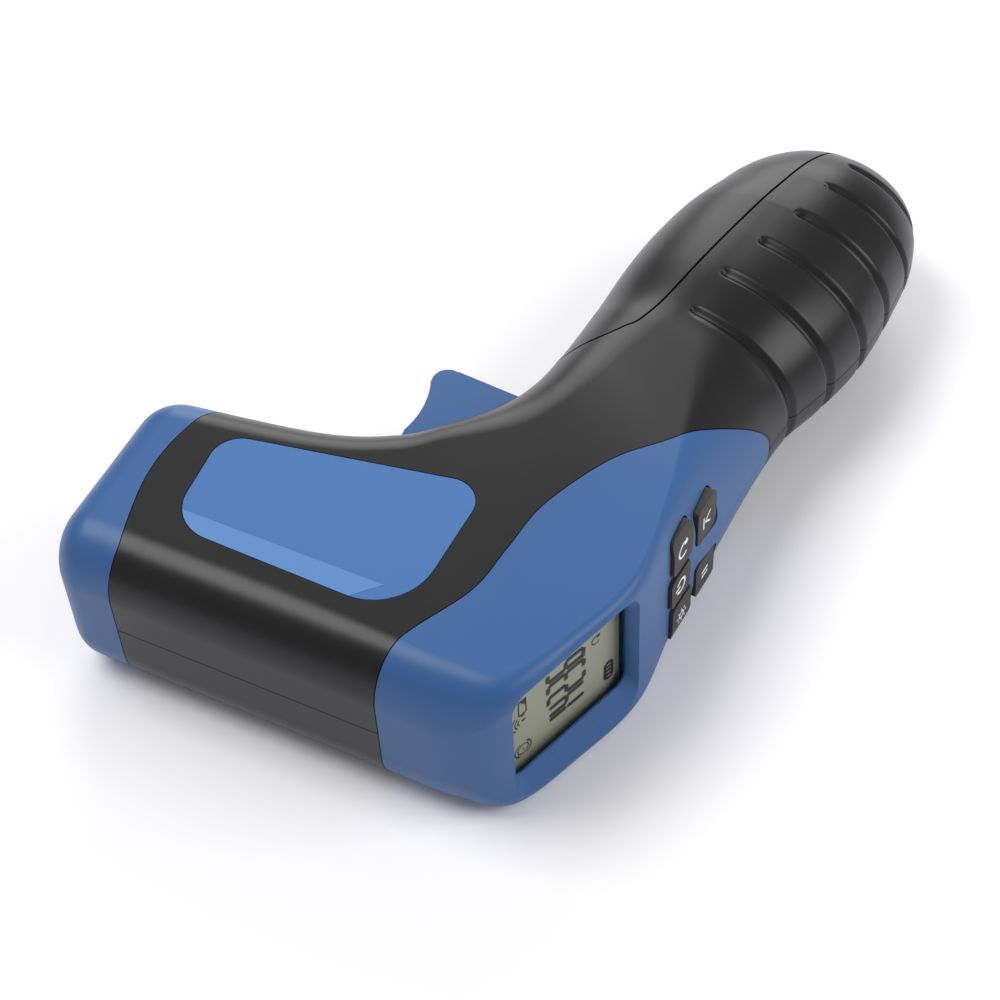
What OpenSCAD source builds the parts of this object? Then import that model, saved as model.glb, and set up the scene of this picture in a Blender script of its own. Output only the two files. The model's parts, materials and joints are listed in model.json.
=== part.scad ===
// Laser tachometer in the shape of a small pistol, lying on its left side.
// X runs from the muzzle to the rear, Y from the barrel's top to the butt, Z is up.
// The origin is the middle of the head's flat left side, which rests on the table.

/* [Head] */
// Width of the whole tool across its two flat sides
body_width = 37; // [34:0.5:44]
// From the origin to the muzzle
front_reach = 40.5; // [38:0.5:48]
// From the origin to the barrel's top
top_rise = 24; // [22:0.5:30]
// From the origin to the barrel's underside, beside the trigger
under_drop = 24; // [22:0.5:28]
// From the origin to the back of the keypad
rear_reach = 61.5; // [58:0.5:70]
// Thickness of the moulded walls
wall = 2; // [1.6:0.1:2.6]
// Gap left at each seam between two mouldings
seam_gap = 0.2; // [0.1:0.05:0.4]
// Radius of the muzzle's outer edge
muzzle_round = 7; // [4:0.5:8]
// From the origin to the seam of the front bezel
bezel_seam = 27; // [24:0.5:32]
// How far the bezel's seam bows towards the muzzle on the flat sides
bezel_bow = 3.6; // [1:0.2:5]

/* [Grip] */
// From the origin to the first groove on the grip's back
groove_start = 70.7; // [68:0.5:74]
// From one groove to the next
groove_pitch = 10.7; // [9.5:0.1:11.5]
// Depth of the grooves
groove_depth = 1; // [0.5:0.1:1.6]
// Depth of the grip at its thickest, front to back
grip_depth = 47.5; // [44:0.5:54]
// How far the butt's dome stands past the last groove station
butt_dome = 20.5; // [16:0.5:24]
// How far the butt's dome leans to the back
butt_lean = 1.5; // [0:0.5:6]
// Outer radius of the battery door's knuckle
knuckle_radius = 2.2; // [1.8:0.1:2.6]
// Radius of the battery door's hinge pin
door_pin_radius = 0.9; // [0.7:0.05:1.2]
// Length of the battery door's hinge pin
door_pin_length = 10.4; // [8:0.2:12]

/* [Trigger] */
// Width of the trigger
trigger_width = 14; // [10:0.5:18]
// From the origin to the trigger's pin, towards the rear
trigger_pivot_x = 7; // [5:0.5:9]
// From the origin to the trigger's pin, towards the butt
trigger_pivot_y = 20; // [18:0.5:22]
// Radius of the trigger's pin
trigger_pin_radius = 1.25; // [1:0.05:1.6]
// Length of the trigger below the pin
trigger_drop = 30.5; // [28:0.5:32]

/* [Display and keys] */
// Width of the display opening
window_width = 26.4; // [22:0.2:28]
// Height of the display opening
window_height = 28.4; // [24:0.2:30]
// Thickness of the clear window
window_thick = 1.5; // [1:0.1:2.5]
// Thickness of the display glass
lcd_thick = 2.8; // [2:0.1:3.5]
// How far the keys stand out of the panel
key_proud = 0.8; // [0.5:0.1:1.4]
// Gap round each key
key_gap = 0.3; // [0.2:0.05:0.5]
// Thickness of the circuit boards
board_thick = 1.6; // [1:0.1:2]

/* [Optics and power] */
// Radius of the receiving lens
lens_radius = 9; // [7:0.5:10]
// Radius of the laser module
laser_radius = 3.5; // [3:0.25:4.5]
// Length of the laser module
laser_length = 24; // [18:1:26]
// Length of the optics holder
holder_length = 22; // [16:1:24]
// Length of the battery block without its studs
battery_length = 46.4; // [44:0.2:48]
// Width of the battery block
battery_width = 26.2; // [25:0.1:26.6]
// Thickness of the battery block
battery_thick = 17; // [16:0.1:17.6]
// Height of the battery studs
stud_height = 2.6; // [2:0.1:3]
// Thickness of the printed side label
label_thick = 0.35; // [0.2:0.05:0.6]
// Shank radius of the housing screws
screw_radius = 1.25; // [1:0.05:1.5]
// Head radius of the housing screws
screw_head = 2.6; // [2.2:0.1:2.8]

/* [Hidden] */

$fn = 32;
half = body_width / 2;
top = -top_rise;
// Flat left along the middle of each rounded edge
crest = 1;
// Small run-out that makes a cut pass right through a face
over = 0.1;

// Side-view stations from the muzzle to the last groove: the point on the trigger side, the point on
// the back, the half width, then the depth and width of the two rounded edges.
function station(front, back, wide, front_edge, back_edge) =
    concat(front, back, [wide], front_edge, back_edge);
// How far the barrel's underside rises at the muzzle
muzzle_rise = 3.8;
round_side = half - crest;
barrel_edge = [9.8, half - 7.5];
under_edge = [11, round_side];
window_edge = [2.8, 2.8];
keypad_edge = [5.5, 8.5];
keypad_place = [rear_reach - 2.3, top + 50.4];
neck_half = half - 1.2;
neck_edge = [18, neck_half - crest];
grip_lean = 0.165;
// Depth of the grip at each groove, as a share of its thickest
grip_swell = [0.92, 0.985, 1.015, 0.985, 0.905];
// How far the grip's back stands behind the keypad at each groove
back_swell = [2.1, 5.6, 8.2, 9, 9];
function grip_station(k) =
    let (back = [rear_reach + back_swell[k], groove_start + k * groove_pitch],
         depth = grip_depth * grip_swell[k],
         wide = k == 0 ? neck_half : k == 1 ? half - 0.3 : k < 4 ? half : half - 0.9)
    station(back + depth * [-1, grip_lean * (1 - k / 9)], back, wide,
        [depth * 0.46, wide - crest], [depth * 0.5, wide - crest]);
stations = concat([
    station([-front_reach, under_drop - muzzle_rise], [-front_reach, top], half, under_edge, barrel_edge),
    station([-10, under_drop + 0.8], [-10, top], half, under_edge, barrel_edge),
    station([3, under_drop + 6.2], [rear_reach - 37, top], half, under_edge, barrel_edge),
    station([9, under_drop + 11.6], [rear_reach - 22, top + 0.3], half, under_edge, [9, half - 7]),
    station([13.4, under_drop + 17.4], [rear_reach - 13, top + 5.2], half, [13, round_side], [5, 5.5]),
    station([16.4, under_drop + 23], [rear_reach - 7, top + 20.4], half, [15, round_side], window_edge),
    station([18.4, under_drop + 29.5], [rear_reach - 2.6, top + 35], half, [16, round_side], window_edge),
    station([19.3, under_drop + 37], keypad_place, half - 0.3, [17, round_side - 0.3], keypad_edge),
    station([19.6, under_drop + 45], [rear_reach - 0.2, top + 67], half - 0.9,
        [17, round_side - 0.9], [13, round_side - 1.4]),
    station([19.7, under_drop + 52], [rear_reach + 0.7, groove_start - groove_pitch], neck_half,
        neck_edge, neck_edge)],
    [for (k = [0:4]) grip_station(k)]);
last_station = len(stations) - 1;
first_groove = last_station - 4;

// Smooth curve through the rows of a list, at a place counted in rows
function curve(rows, t) =
    let (last = len(rows) - 1, i = min(floor(t), last - 1), u = t - i,
         a = rows[max(i - 1, 0)], b = rows[i], c = rows[i + 1], d = rows[min(i + 2, last)])
    (2 * b + (c - a) * u + (2 * a - 5 * b + 4 * c - d) * u ^ 2 + (3 * b - a - 3 * c + d) * u ^ 3) / 2;
function ease(u) = let (v = min(max(u, 0), 1)) v * v * (3 - 2 * v);

// Depth of a groove at a share of its pitch: a steep lip, then a slow rise to the next one
groove_lip = 0.12;
groove_rise = 0.55;
function groove(u) = u < groove_lip ? ease(u / groove_lip) : max(1 - (u - groove_lip) / groove_rise, 0) ^ 1.6;

// Every row also carries its groove depth as a last number.
function muzzle_row(turn) =
    let (s = stations[0], inset = muzzle_round * (1 - sin(turn)), shift = muzzle_round * (1 - cos(turn)))
    [s[0] + shift, s[1] - inset, s[2] + shift, s[3] + inset, s[4] - inset,
        s[5] - inset, s[6] - inset, s[7] - inset, s[8] - inset, 0];
function body_row(t) =
    let (u = t - first_groove)
    concat(curve(stations, t), [u < 0 ? 0 : groove_depth * groove(u - floor(u))]);
butt_front = [stations[last_station][0], stations[last_station][1]];
butt_back = [stations[last_station][2], stations[last_station][3]];
butt_middle = (butt_front + butt_back) / 2;
butt_across = (butt_back - butt_front) / norm(butt_back - butt_front);
butt_run = butt_dome * [-butt_across[1], butt_across[0]] + butt_lean * butt_across;
// Taper with which the dome starts, as a share of its width
dome_taper = 0.16;
// The last two grooves run onto the dome
dome_groove = 0.5;
dome_grooves_end = 0.85;
function dome_row(u) =
    let (f = sqrt(1 - u * u) - dome_taper * u * (1 - u), s = stations[last_station],
         p = (u % dome_groove) / dome_groove,
         middle = butt_middle + u * butt_run,
         front = middle + f * (butt_front - butt_middle), back = middle + f * (butt_back - butt_middle))
    [front[0], front[1], back[0], back[1], s[4] * f, s[5] * f, s[6] * f, s[7] * f, s[8] * f,
        u < dome_grooves_end ? groove_depth * f * groove(p) : 0];

groove_steps = [0, groove_lip, 0.3, groove_lip + groove_rise];
fine_rows = concat(
    [for (turn = [0:22.5:67.5]) muzzle_row(turn)],
    [for (t = [0.2:0.45:first_groove - 0.1]) body_row(t)],
    [for (k = [first_groove:last_station - 1], u = groove_steps) body_row(k + u)],
    [for (u = groove_steps) dome_row(u * dome_groove)],
    [for (u = [0.5, 0.54, 0.58, 0.7, 0.83, 0.93, 0.985]) dome_row(u)]);
plain_rows = concat(
    [for (t = [0.1:0.9:first_groove]) body_row(t)],
    [for (t = [first_groove + 0.2:0.7:last_station]) let (r = curve(stations, t)) concat(r, [0])],
    [for (u = [0.1, 0.4, 0.65, 0.82]) let (r = dome_row(u)) [for (i = [0:8]) r[i], 0]]);

// Turn round the back at which the grooves start to run out
groove_end = 72;
// Closed section of the body at one row, moved in by an inset
function section(row, inset, steps) =
    let (front = [row[0], row[1]], back = [row[2], row[3]], deep = norm(back - front),
         along = (back - front) / deep, wide = min(row[4], half),
         edge_front = [for (k = [0:steps]) let (a = 90 * k / steps)
             [row[5] - (row[5] - inset) * cos(a), wide - row[6] + (row[6] - inset) * sin(a)]],
         edge_back = [for (k = [steps:-1:0])
             let (a = 90 * k / steps, cut = inset + row[9] * (1 - ease((a - groove_end) / (90 - groove_end))))
             [deep - row[7] + (row[7] - cut) * cos(a), wide - row[8] + (row[8] - cut) * sin(a)]],
         upper = concat(edge_front, edge_back),
         loop = concat(upper, [for (k = [len(upper) - 1:-1:0]) [upper[k][0], -upper[k][1]]]))
    [for (p = loop) concat(front + p[0] * along, [p[1]])];

module loft(rows, inset, steps) {
    rings = [for (row = rows) section(row, inset, steps)];
    count = len(rings[0]);
    last = len(rings) - 1;
    sides = [for (i = [0:last - 1], j = [0:count - 1])
        let (a = i * count + j, b = i * count + (j + 1) % count)
        each [[a, b + count, b], [a, a + count, b + count]]];
    ends = [[for (j = [0:count - 1]) j], [for (j = [count - 1:-1:0]) last * count + j]];
    translate([0, 0, half]) polyhedron([for (ring = rings) each ring], concat(sides, ends));
}
module outer_body() loft(fine_rows, 0, 6);
module inner_body() loft(plain_rows, wall, 3);
module shell() difference() {
    outer_body();
    inner_body();
}

// Far edges of the flat regions that cut the shell apart
far = 200;
module prism(points) translate([0, 0, -over]) linear_extrude(body_width + 2 * over) polygon(points);

// Front bezel: everything ahead of a seam that bows forward on the flat sides
bow_from = top + 6;
bow_to = under_drop - 4;
function bezel_seam_x(y) =
    let (s = min(max((y - bow_from) / (bow_to - bow_from), 0), 1))
    -bezel_seam - bezel_bow * sin(180 * s) ^ 1.2;
module bezel_region(gap) {
    ys = [top - 10, for (y = [bow_from:2.5:bow_to]) y, under_drop + 20];
    prism(concat([[-far, top - 10]], [for (y = ys) [bezel_seam_x(y) + gap, y]], [[-far, under_drop + 20]]));
}
// Rear panel: everything behind a seam that sweeps down to a tongue on the grip's back
panel_seam = [
    [rear_reach - 36.2, top - 5], [rear_reach - 34.5, top + 8], [rear_reach - 28, top + 22],
    [rear_reach - 26.4, top + 33], [rear_reach - 24.8, top + 44], [rear_reach - 18.5, top + 58],
    [rear_reach - 10.8, top + 67.4], [rear_reach - 4.4, top + 77], [rear_reach + 3.6, top + 91]];
function panel_seam_at(t, gap) =
    let (p = curve(panel_seam, t), q = curve(panel_seam, t + 0.02) - curve(panel_seam, t - 0.02))
    p + gap * [-q[1], q[0]] / norm(q);
module panel_region(gap) prism(concat(
    [for (t = [0.02:0.33:len(panel_seam) - 1.02]) panel_seam_at(t, gap)],
    [[rear_reach + far, top + 91], [rear_reach + far, top - 5]]));
// Battery door: the trigger side of the grip, from below the trigger to the tip of the butt
// It meets the dome a little to the trigger side of the tip, where its hinge is.
door_share = -0.19;
door_tip = butt_middle + sqrt(1 - door_share ^ 2) * butt_run + door_share * (butt_back - butt_middle);
door_axis = (door_tip - butt_middle) / norm(door_tip - butt_middle);
knuckle_cover = 0.4;
door_pin_place = door_tip - (knuckle_radius + knuckle_cover) * door_axis;
door_seam = [
    [0, under_drop + 31], [19, under_drop + 32], [rear_reach - 35.5, under_drop + 36.3],
    [rear_reach - 30.5, under_drop + 41.6], [rear_reach - 27.3, groove_start + 0.8],
    [rear_reach - 20.9, groove_start + 27.8], [rear_reach - 15.9, groove_start + 48.9],
    door_pin_place, door_tip + 8 * door_axis];
function door_seam_at(t, gap) =
    let (p = curve(door_seam, t), q = curve(door_seam, t + 0.02) - curve(door_seam, t - 0.02))
    p + gap * [q[1], -q[0]] / norm(q);
module door_region(gap) prism(concat(
    [for (t = [0.02:0.33:len(door_seam) - 1.02]) door_seam_at(t, gap)],
    [[-far, door_tip[1] + 12], [-far, under_drop + 31]]));

// A frame on the display: X outwards, Y down the display
display_place = [rear_reach - 9.9, top + 20.8];
display_turn = -18.4;
module on_display() translate([display_place[0], display_place[1], half])
    rotate([0, 0, display_turn]) children();
// A frame on the keypad: X outwards, Y towards the butt
keypad_turn = -3;
module on_keypad() translate([keypad_place[0], keypad_place[1], half])
    rotate([0, 0, keypad_turn]) children();

// A block with rounded corners across X, between two values of X
module rounded_block(x0, x1, tall, wide, radius) hull()
    for (y = [-1, 1], z = [-1, 1])
        translate([x0, y * (tall / 2 - radius), z * (wide / 2 - radius)])
            rotate([0, 90, 0]) cylinder(r = radius, h = x1 - x0);

// Screws that hold the two housings together, in the side view
screw_places = [[-8, top + 10.5], [21, top + 10.5], [-8, under_drop - 10.5],
    [rear_reach - 8, groove_start + 8]];
boss_wall = 1.4;
boss_radius = screw_radius + 0.2 + boss_wall;
head_room = 0.3;
boss_sides = 14;
screw_seat = 6;
screw_tip = body_width - wall - 3;
boss_meet = half + 1.5;
// A boss with a wide foot and two webs, from one height to another
module boss(z0, z1) {
    translate([0, 0, z0]) cylinder(r = boss_radius, h = z1 - z0, $fn = boss_sides);
    translate([0, 0, z0])
        cylinder(r = screw_head + head_room + boss_wall, h = screw_seat + boss_wall - z0, $fn = boss_sides);
    for (turn = [45, 135]) rotate(turn) hull() {
        translate([-boss_radius - 2.4, -0.5, z0]) cube([2 * boss_radius + 4.8, 1, screw_seat - z0]);
        translate([-boss_radius, -0.5, z0]) cube([2 * boss_radius, 1, (z1 - z0) * 0.7]);
    }
}
// Trims what stands inside the shell to the middle of its wall
module inside_shell() intersection() {
    union() children();
    loft(plain_rows, wall / 2, 3);
}

// Hinge lugs for the battery door, one on each housing
lug_from = 2.7;
lug_to = 5.2;
knuckle_half = 2.4;
hinge_play = 0.3;
module at_door_pin(z) translate([door_pin_place[0], door_pin_place[1], half + z]) children();
module door_lug(side) {
    z0 = side > 0 ? lug_from : -lug_to;
    difference() {
        union() {
            at_door_pin(z0) cylinder(r = knuckle_radius, h = lug_to - lug_from);
            hull() {
                at_door_pin(z0) translate([0, -knuckle_radius, 0])
                    cube([knuckle_radius, knuckle_radius, lug_to - lug_from]);
                at_door_pin(z0) translate([6, -knuckle_radius - 2.5, 0]) cube([1, 2, lug_to - lug_from]);
            }
        }
        at_door_pin(z0 - over) cylinder(r = door_pin_radius, h = door_pin_length);
    }
}
module hinge_room() at_door_pin(-half)
    cylinder(r = knuckle_radius + knuckle_cover + 1.5 * hinge_play, h = body_width);

// Posts that carry the trigger's pin, one on each housing
trigger_post = 3.2;
module at_trigger_pin(z) translate([trigger_pivot_x, trigger_pivot_y, z]) children();
trigger_play = 0.4;
trigger_back = 20;
trigger_foot = trigger_pivot_y + trigger_drop;
// Wall behind the trigger that its spring and switch sit on
spring_wall_x = trigger_back + 8.6;
spring_wall = 1.6;
pin_end = trigger_width / 2 + trigger_play + 3;

// Opening for the trigger in the underside
module trigger_slot() translate([0, 0, half - trigger_width / 2 - trigger_play])
    linear_extrude(trigger_width + 2 * trigger_play)
        polygon([[-0.6, trigger_pivot_y + 4], [-0.6, under_drop + 20], [12, trigger_foot + 0.6],
            [26, trigger_foot - 0.6], [26, trigger_pivot_y + 12], [14, trigger_pivot_y + 4]]);

// Side label: a plate with four rounded corners, each a place and a radius
label_corners = [[-13.5, top + 21.3, 8.3], [-16.8, under_drop - 17.8, 5.6],
    [rear_reach - 40.9, under_drop - 10.6, 5.3], [rear_reach - 46.9, top + 23.4, 11]];
label_recess = label_thick + 0.1;
module label_plate(z, thick, gap) hull()
    for (c = label_corners) translate([c[0], c[1], z]) cylinder(r = c[2] - gap, h = thick, $fn = 40);

// Boards and what sits on them
board_z = half - lens_radius - 1.55 - board_thick;
board_corners = [[-bezel_seam - 1.5, top + 15], [18, under_drop - 15]];
board_screw_radius = 0.8;
board_size = board_corners[1] - board_corners[0];
board_screw_places = [for (x = [4, board_size[0] - 4]) board_corners[0] + [x, 4]];
module board_post(place) translate([place[0], place[1], wall - over])
    cylinder(r = 3, h = board_z - wall + over, $fn = boss_sides);

// Cradle under the battery
battery_turn = 13;
battery_middle = [rear_reach - 18.1, groove_start + 23.3];
module on_battery() translate([battery_middle[0], battery_middle[1], half])
    rotate([0, 0, -battery_turn]) children();
cradle_gap = 0.25;
cradle_rib = 1.5;
// Ribs beside and behind the battery, on the housings' side of the door
module cradle(side) {
    beside = battery_width / 2 + cradle_gap;
    behind = battery_thick / 2 + cradle_gap;
    for (y = [-1, 0, 1]) on_battery() mirror([0, 0, side > 0 ? 0 : 1])
        translate([0, y * battery_length * 0.36 + cradle_rib / 2, 0]) rotate([90, 0, 0])
            linear_extrude(cradle_rib) polygon([[-2, beside], [behind, beside], [behind, beside - 6],
                [behind + 4, beside - 6], [behind + 9, half], [-2, half]]);
}

// What both housings share: half of the shell, less the places of the other mouldings
module housing_half(side) difference() {
    intersection() {
        shell();
        translate([-far / 2, -far / 2, side > 0 ? half + seam_gap / 2 : -over])
            cube([far * 1.5, far * 1.5, half - seam_gap / 2 + over]);
    }
    bezel_region(seam_gap);
    panel_region(seam_gap);
    door_region(seam_gap + hinge_play / 2);
    trigger_slot();
    hinge_room();
}
// What stands inside each housing: screw bosses, the battery's cradle and the wall behind the trigger
module housing_inside(side) inside_shell() {
    for (p = screw_places) translate([p[0], p[1], side > 0 ? body_width : 0]) mirror([0, 0, side > 0 ? 1 : 0])
        boss(0, side > 0 ? body_width - boss_meet - seam_gap : boss_meet);
    cradle(side);
    translate([spring_wall_x, trigger_foot - 10, side > 0 ? half + seam_gap / 2 : 0])
        cube([spring_wall, 8, half - seam_gap / 2]);
}
// A post for one end of the trigger's pin, standing on the side wall
post_height = half - wall + over - trigger_width / 2 - trigger_play;
module pin_post() difference() {
    cylinder(r = trigger_post, h = post_height, $fn = 24);
    translate([0, 0, post_height - 3]) cylinder(r = trigger_pin_radius, h = 3 + over, $fn = 24);
}
module right_housing() color("#2a2a2c") {
    difference() {
        union() {
            housing_half(1);
            housing_inside(1);
            at_trigger_pin(body_width - wall + over) mirror([0, 0, 1]) pin_post();
            door_lug(1);
        }
        for (p = screw_places) translate([p[0], p[1], half])
            cylinder(r = screw_radius + 0.05, h = screw_tip - half, $fn = boss_sides);
        label_plate(body_width - label_recess, label_recess + over, -0.15);
    }
}
module left_housing() color("#29292b") {
    difference() {
        union() {
            housing_half(-1);
            housing_inside(-1);
            at_trigger_pin(wall - over) pin_post();
            for (p = board_screw_places) board_post(p);
            door_lug(-1);
        }
        for (p = screw_places) translate([p[0], p[1], -over]) {
            cylinder(r = screw_radius + 0.2, h = body_width, $fn = boss_sides);
            cylinder(r = screw_head + head_room, h = screw_seat + over, $fn = 20);
        }
        for (p = board_screw_places) translate([p[0], p[1], board_z - 4])
            cylinder(r = board_screw_radius + 0.05, h = 4 + over, $fn = boss_sides);
    }
}

// The muzzle: a lip, and a pocket behind it that the front plate seats in
plate_thick = 2;
plate_lip = 1.6;
plate_middle = (top + under_drop - muzzle_rise) / 2;
opening_tall = top_rise + under_drop - muzzle_rise - 2 * muzzle_round + 2;
opening_wide = body_width - 2 * muzzle_round + 2;
opening_round = 9;
// Four clips that hold the bezel behind the housings' edges
clip_place = 10;
clip_wide = 4;
module on_muzzle() translate([-front_reach, plate_middle, half]) children();
module front_bezel() color("#2f5f98") {
    difference() {
        intersection() {
            outer_body();
            bezel_region(0);
        }
        intersection() {
            inner_body();
            translate([-front_reach + plate_lip + plate_thick + 1.2, top, 0]) cube([far, far, body_width]);
        }
        on_muzzle() rounded_block(-over, plate_lip + over, opening_tall, opening_wide, opening_round);
        on_muzzle() hull() {
            rounded_block(-over, 0, opening_tall + 2, opening_wide + 2, opening_round + 1);
            rounded_block(1, 1 + over, opening_tall, opening_wide, opening_round);
        }
        on_muzzle() rounded_block(plate_lip, far, opening_tall + 3, opening_wide + 3, opening_round + 1);
    }
    for (y = [-1, 1], z = [-1, 1])
        translate([-bezel_seam, plate_middle + y * clip_place - clip_wide / 2, half]) hull() {
            translate([-5, 0, z * (half - wall - 1.9) - 0.6]) cube([2, clip_wide, 1.2]);
            translate([2.4, 0, z * (half - wall - 1.5) - 0.4]) cube([over, clip_wide, 0.8]);
            translate([-9.5, 0, z * (half - wall) - 0.6]) cube([2, clip_wide, 1.2]);
        }
}
module front_plate() color("#1d1d1f") on_muzzle() difference() {
    rounded_block(plate_lip + over, plate_lip + plate_thick,
        opening_tall + 2.6, opening_wide + 2.6, opening_round + 0.8);
    translate([0, lens_place, 0]) rotate([0, 90, 0]) cylinder(r = lens_radius - 1, h = 10);
    translate([0, laser_place, 0]) rotate([0, 90, 0]) cylinder(r = laser_radius - 1, h = 10);
}
// Height of the lens and of the laser on the muzzle
lens_place = opening_tall / 2 - lens_radius - 1.5;
laser_place = lens_place - lens_radius - laser_radius - 2;
holder_start = plate_lip + plate_thick + 0.2;
lens_thick = 4;
sensor_radius = 2.35;
module optics_holder() color("#202022") on_muzzle() difference() {
    union() {
        translate([holder_start, lens_place, 0]) rotate([0, 90, 0])
            cylinder(r = lens_radius + 1.5, h = holder_length);
        translate([holder_start, laser_place, 0]) rotate([0, 90, 0])
            cylinder(r = laser_radius + 1.5, h = holder_length - 4);
        translate([holder_start, laser_place, -2]) cube([holder_length - 4, lens_place - laser_place, 4]);
    }
    translate([holder_start - over, lens_place, 0]) rotate([0, 90, 0])
        cylinder(r = lens_radius + 0.1, h = lens_thick + over);
    translate([holder_start, lens_place, 0]) rotate([0, 90, 0])
        cylinder(r = lens_radius - 1, h = holder_length - 3);
    translate([holder_start, lens_place, 0]) rotate([0, 90, 0]) cylinder(r = sensor_radius + 0.1, h = far);
    translate([holder_start - over, laser_place, 0]) rotate([0, 90, 0])
        cylinder(r = laser_radius + 0.1, h = far);
}
module receiver_lens() color("#b9c7d6") on_muzzle()
    translate([holder_start + lens_thick - 0.1, lens_place, 0]) rotate([0, -90, 0]) rotate_extrude($fn = 48)
        polygon([[0, 0], [lens_radius, 0], [lens_radius, 1.6],
            for (k = [1:6]) let (r = lens_radius * (1 - k / 6)) [r, 1.6 + 2 * (1 - (r / lens_radius) ^ 2)]]);
module laser_module() color("#c49a3c") on_muzzle()
    translate([holder_start, laser_place, 0]) rotate([0, 90, 0]) difference() {
        cylinder(r = laser_radius, h = laser_length);
        translate([0, 0, -over]) cylinder(r1 = 1.8, r2 = 1, h = 2);
    }
module photo_sensor() color("#8d9096") on_muzzle()
    translate([holder_start + holder_length - 3 + 0.1, lens_place, 0]) rotate([0, 90, 0]) {
        cylinder(r = sensor_radius, h = 3.5);
        translate([0, 0, 3]) cylinder(r = sensor_radius + 0.45, h = 0.6);
        for (turn = [0:120:240]) rotate(turn) translate([1.3, 0, 3.5]) cylinder(r = 0.25, h = 4);
    }

// Keys: each is a row of its place along the keypad, its place across it and its width
key_tall = 7.4;
upper_key = [1, 9.6, 9.2];
lower_key = [10.4, 7.7, 9];
function other_side(key) = [key[0], -key[1], key[2]];
key_plan = [[0.3, 0, key_tall], upper_key, lower_key, other_side(upper_key), other_side(lower_key)];
key_corner = 1.2;
mat_depth = 6.2;
mat_thick = 1.2;
key_travel = 0.8;
// The keypad's rounded face as a solid, moved in by an inset
module keypad_face(inset) {
    deep = keypad_edge[0] - inset;
    wide = keypad_edge[1] - inset;
    translate([-keypad_edge[0], -20, 0]) rotate([-90, 0, 0]) linear_extrude(60)
        polygon([for (a = [-90:7.5:90]) [deep * cos(a), (half - keypad_edge[1]) * sign(a) + wide * sin(a)]]);
}
module key_block(k, gap, x0, x1) translate([0, key_plan[k][0], key_plan[k][1]])
    rounded_block(x0, x1, key_tall + 2 * gap, key_plan[k][2] + 2 * gap, key_corner + gap);
module key(k) color("#46423f") on_keypad() intersection() {
    key_block(k, 0, -mat_depth + mat_thick + key_travel + 0.3, key_proud + 2);
    keypad_face(-key_proud);
}
mat_reach = 1.2;
mat_middle = (upper_key[0] + lower_key[0]) / 2 - 1;
module key_mat() color("#3a3a3c") on_keypad() translate([-mat_depth, mat_middle, 0])
    rounded_block(0, mat_thick, lower_key[0] + key_tall + 2 * mat_reach, 2 * upper_key[1] + key_tall, 2);

module rear_panel() color("#2f5f98") {
    difference() {
        union() {
            intersection() {
                shell();
                panel_region(0);
            }
            intersection() {
                outer_body();
                panel_region(0);
                on_display() rounded_block(-window_thick - 1, 12, window_height + 7, window_width + 6, 4);
            }
        }
        on_display() rounded_block(-over, 14, window_height, window_width, 2.5);
        on_display() hull() {
            rounded_block(0.4, 0.4 + over, window_height, window_width, 2.5);
            rounded_block(6, 6 + over, window_height + 8, window_width + 16, 6);
        }
        on_display() rounded_block(-far / 4, 0, window_height + 3.4, window_width + 3.4, 3);
        on_keypad() for (k = [0:4]) key_block(k, key_gap, -far / 8, 10);
    }
}
module lcd_window() color("#c9d2d6", 0.5) on_display()
    rounded_block(-window_thick, -0.05, window_height + 3, window_width + 3, 2.8);
module lcd_glass() color("#97998a") on_display()
    translate([-window_thick - lcd_thick - 0.1, -window_height / 2 - 0.6, -window_width / 2 - 0.6])
        cube([lcd_thick, window_height + 1.2, window_width + 1.2]);
display_board_x = -window_thick - lcd_thick - 0.2 - board_thick;
module display_board() color("#2f6b45") on_display()
    translate([display_board_x, -window_height / 2 - 1.5, -window_width / 2 - 1])
        cube([board_thick, window_height + 3, window_width + 2]);

module main_board() color("#2f6b45") difference() {
    translate([board_corners[0][0], board_corners[0][1], board_z])
        cube(concat(board_size, [board_thick]));
    for (p = board_screw_places) translate([p[0], p[1], 0])
        cylinder(r = board_screw_radius + 0.3, h = body_width);
}
module board_screws() color("#b0b3b8") for (p = board_screw_places)
    translate([p[0], p[1], board_z + board_thick]) rotate_extrude($fn = 24)
        polygon([[0, -board_thick - 3], [board_screw_radius, -board_thick - 3], [board_screw_radius, 0.05],
            [2, 0.05], [1.7, 1.2], [0, 1.5]]);

// Switch behind the trigger, on the wall that also carries the spring
switch_size = [3.5, 6, 6];
switch_plunger = 1.1;
module trigger_switch() color("#6d6f74") translate([spring_wall_x - 0.05, trigger_foot - 6, half + 3.6]) {
    translate([-switch_size[0], -switch_size[1] / 2, -switch_size[2] / 2]) cube(switch_size);
    translate([-switch_size[0], 0, 0]) rotate([0, -90, 0]) cylinder(r = 1.5, h = switch_plunger);
}

// Trigger: a lug round its pin, a hollow finger face and a flat underside
module trigger_side() difference() {
    union() {
        translate([trigger_pivot_x, trigger_pivot_y]) circle(r = 4);
        polygon([[trigger_pivot_x - 3.9, trigger_pivot_y - 1], [trigger_pivot_x + 3.9, trigger_pivot_y - 1],
            [trigger_back, trigger_foot - 10], [trigger_back, trigger_foot - 1.2], [4, trigger_foot],
            for (a = [75:25:175]) [3 + 3 * cos(a), trigger_foot - 3 + 3 * sin(a)],
            [1.2, trigger_pivot_y + 13]]);
    }
    translate([-17, trigger_foot - 12]) circle(r = 18.8, $fn = 64);
}
module trigger() color("#34659f") difference() {
    translate([0, 0, half - trigger_width / 2]) linear_extrude(trigger_width) trigger_side();
    at_trigger_pin(0) cylinder(r = trigger_pin_radius + 0.05, h = body_width);
}
module trigger_pin() color("#b0b3b8") at_trigger_pin(half - pin_end + 0.2)
    cylinder(r = trigger_pin_radius - 0.01, h = 2 * pin_end - 0.4);

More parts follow.
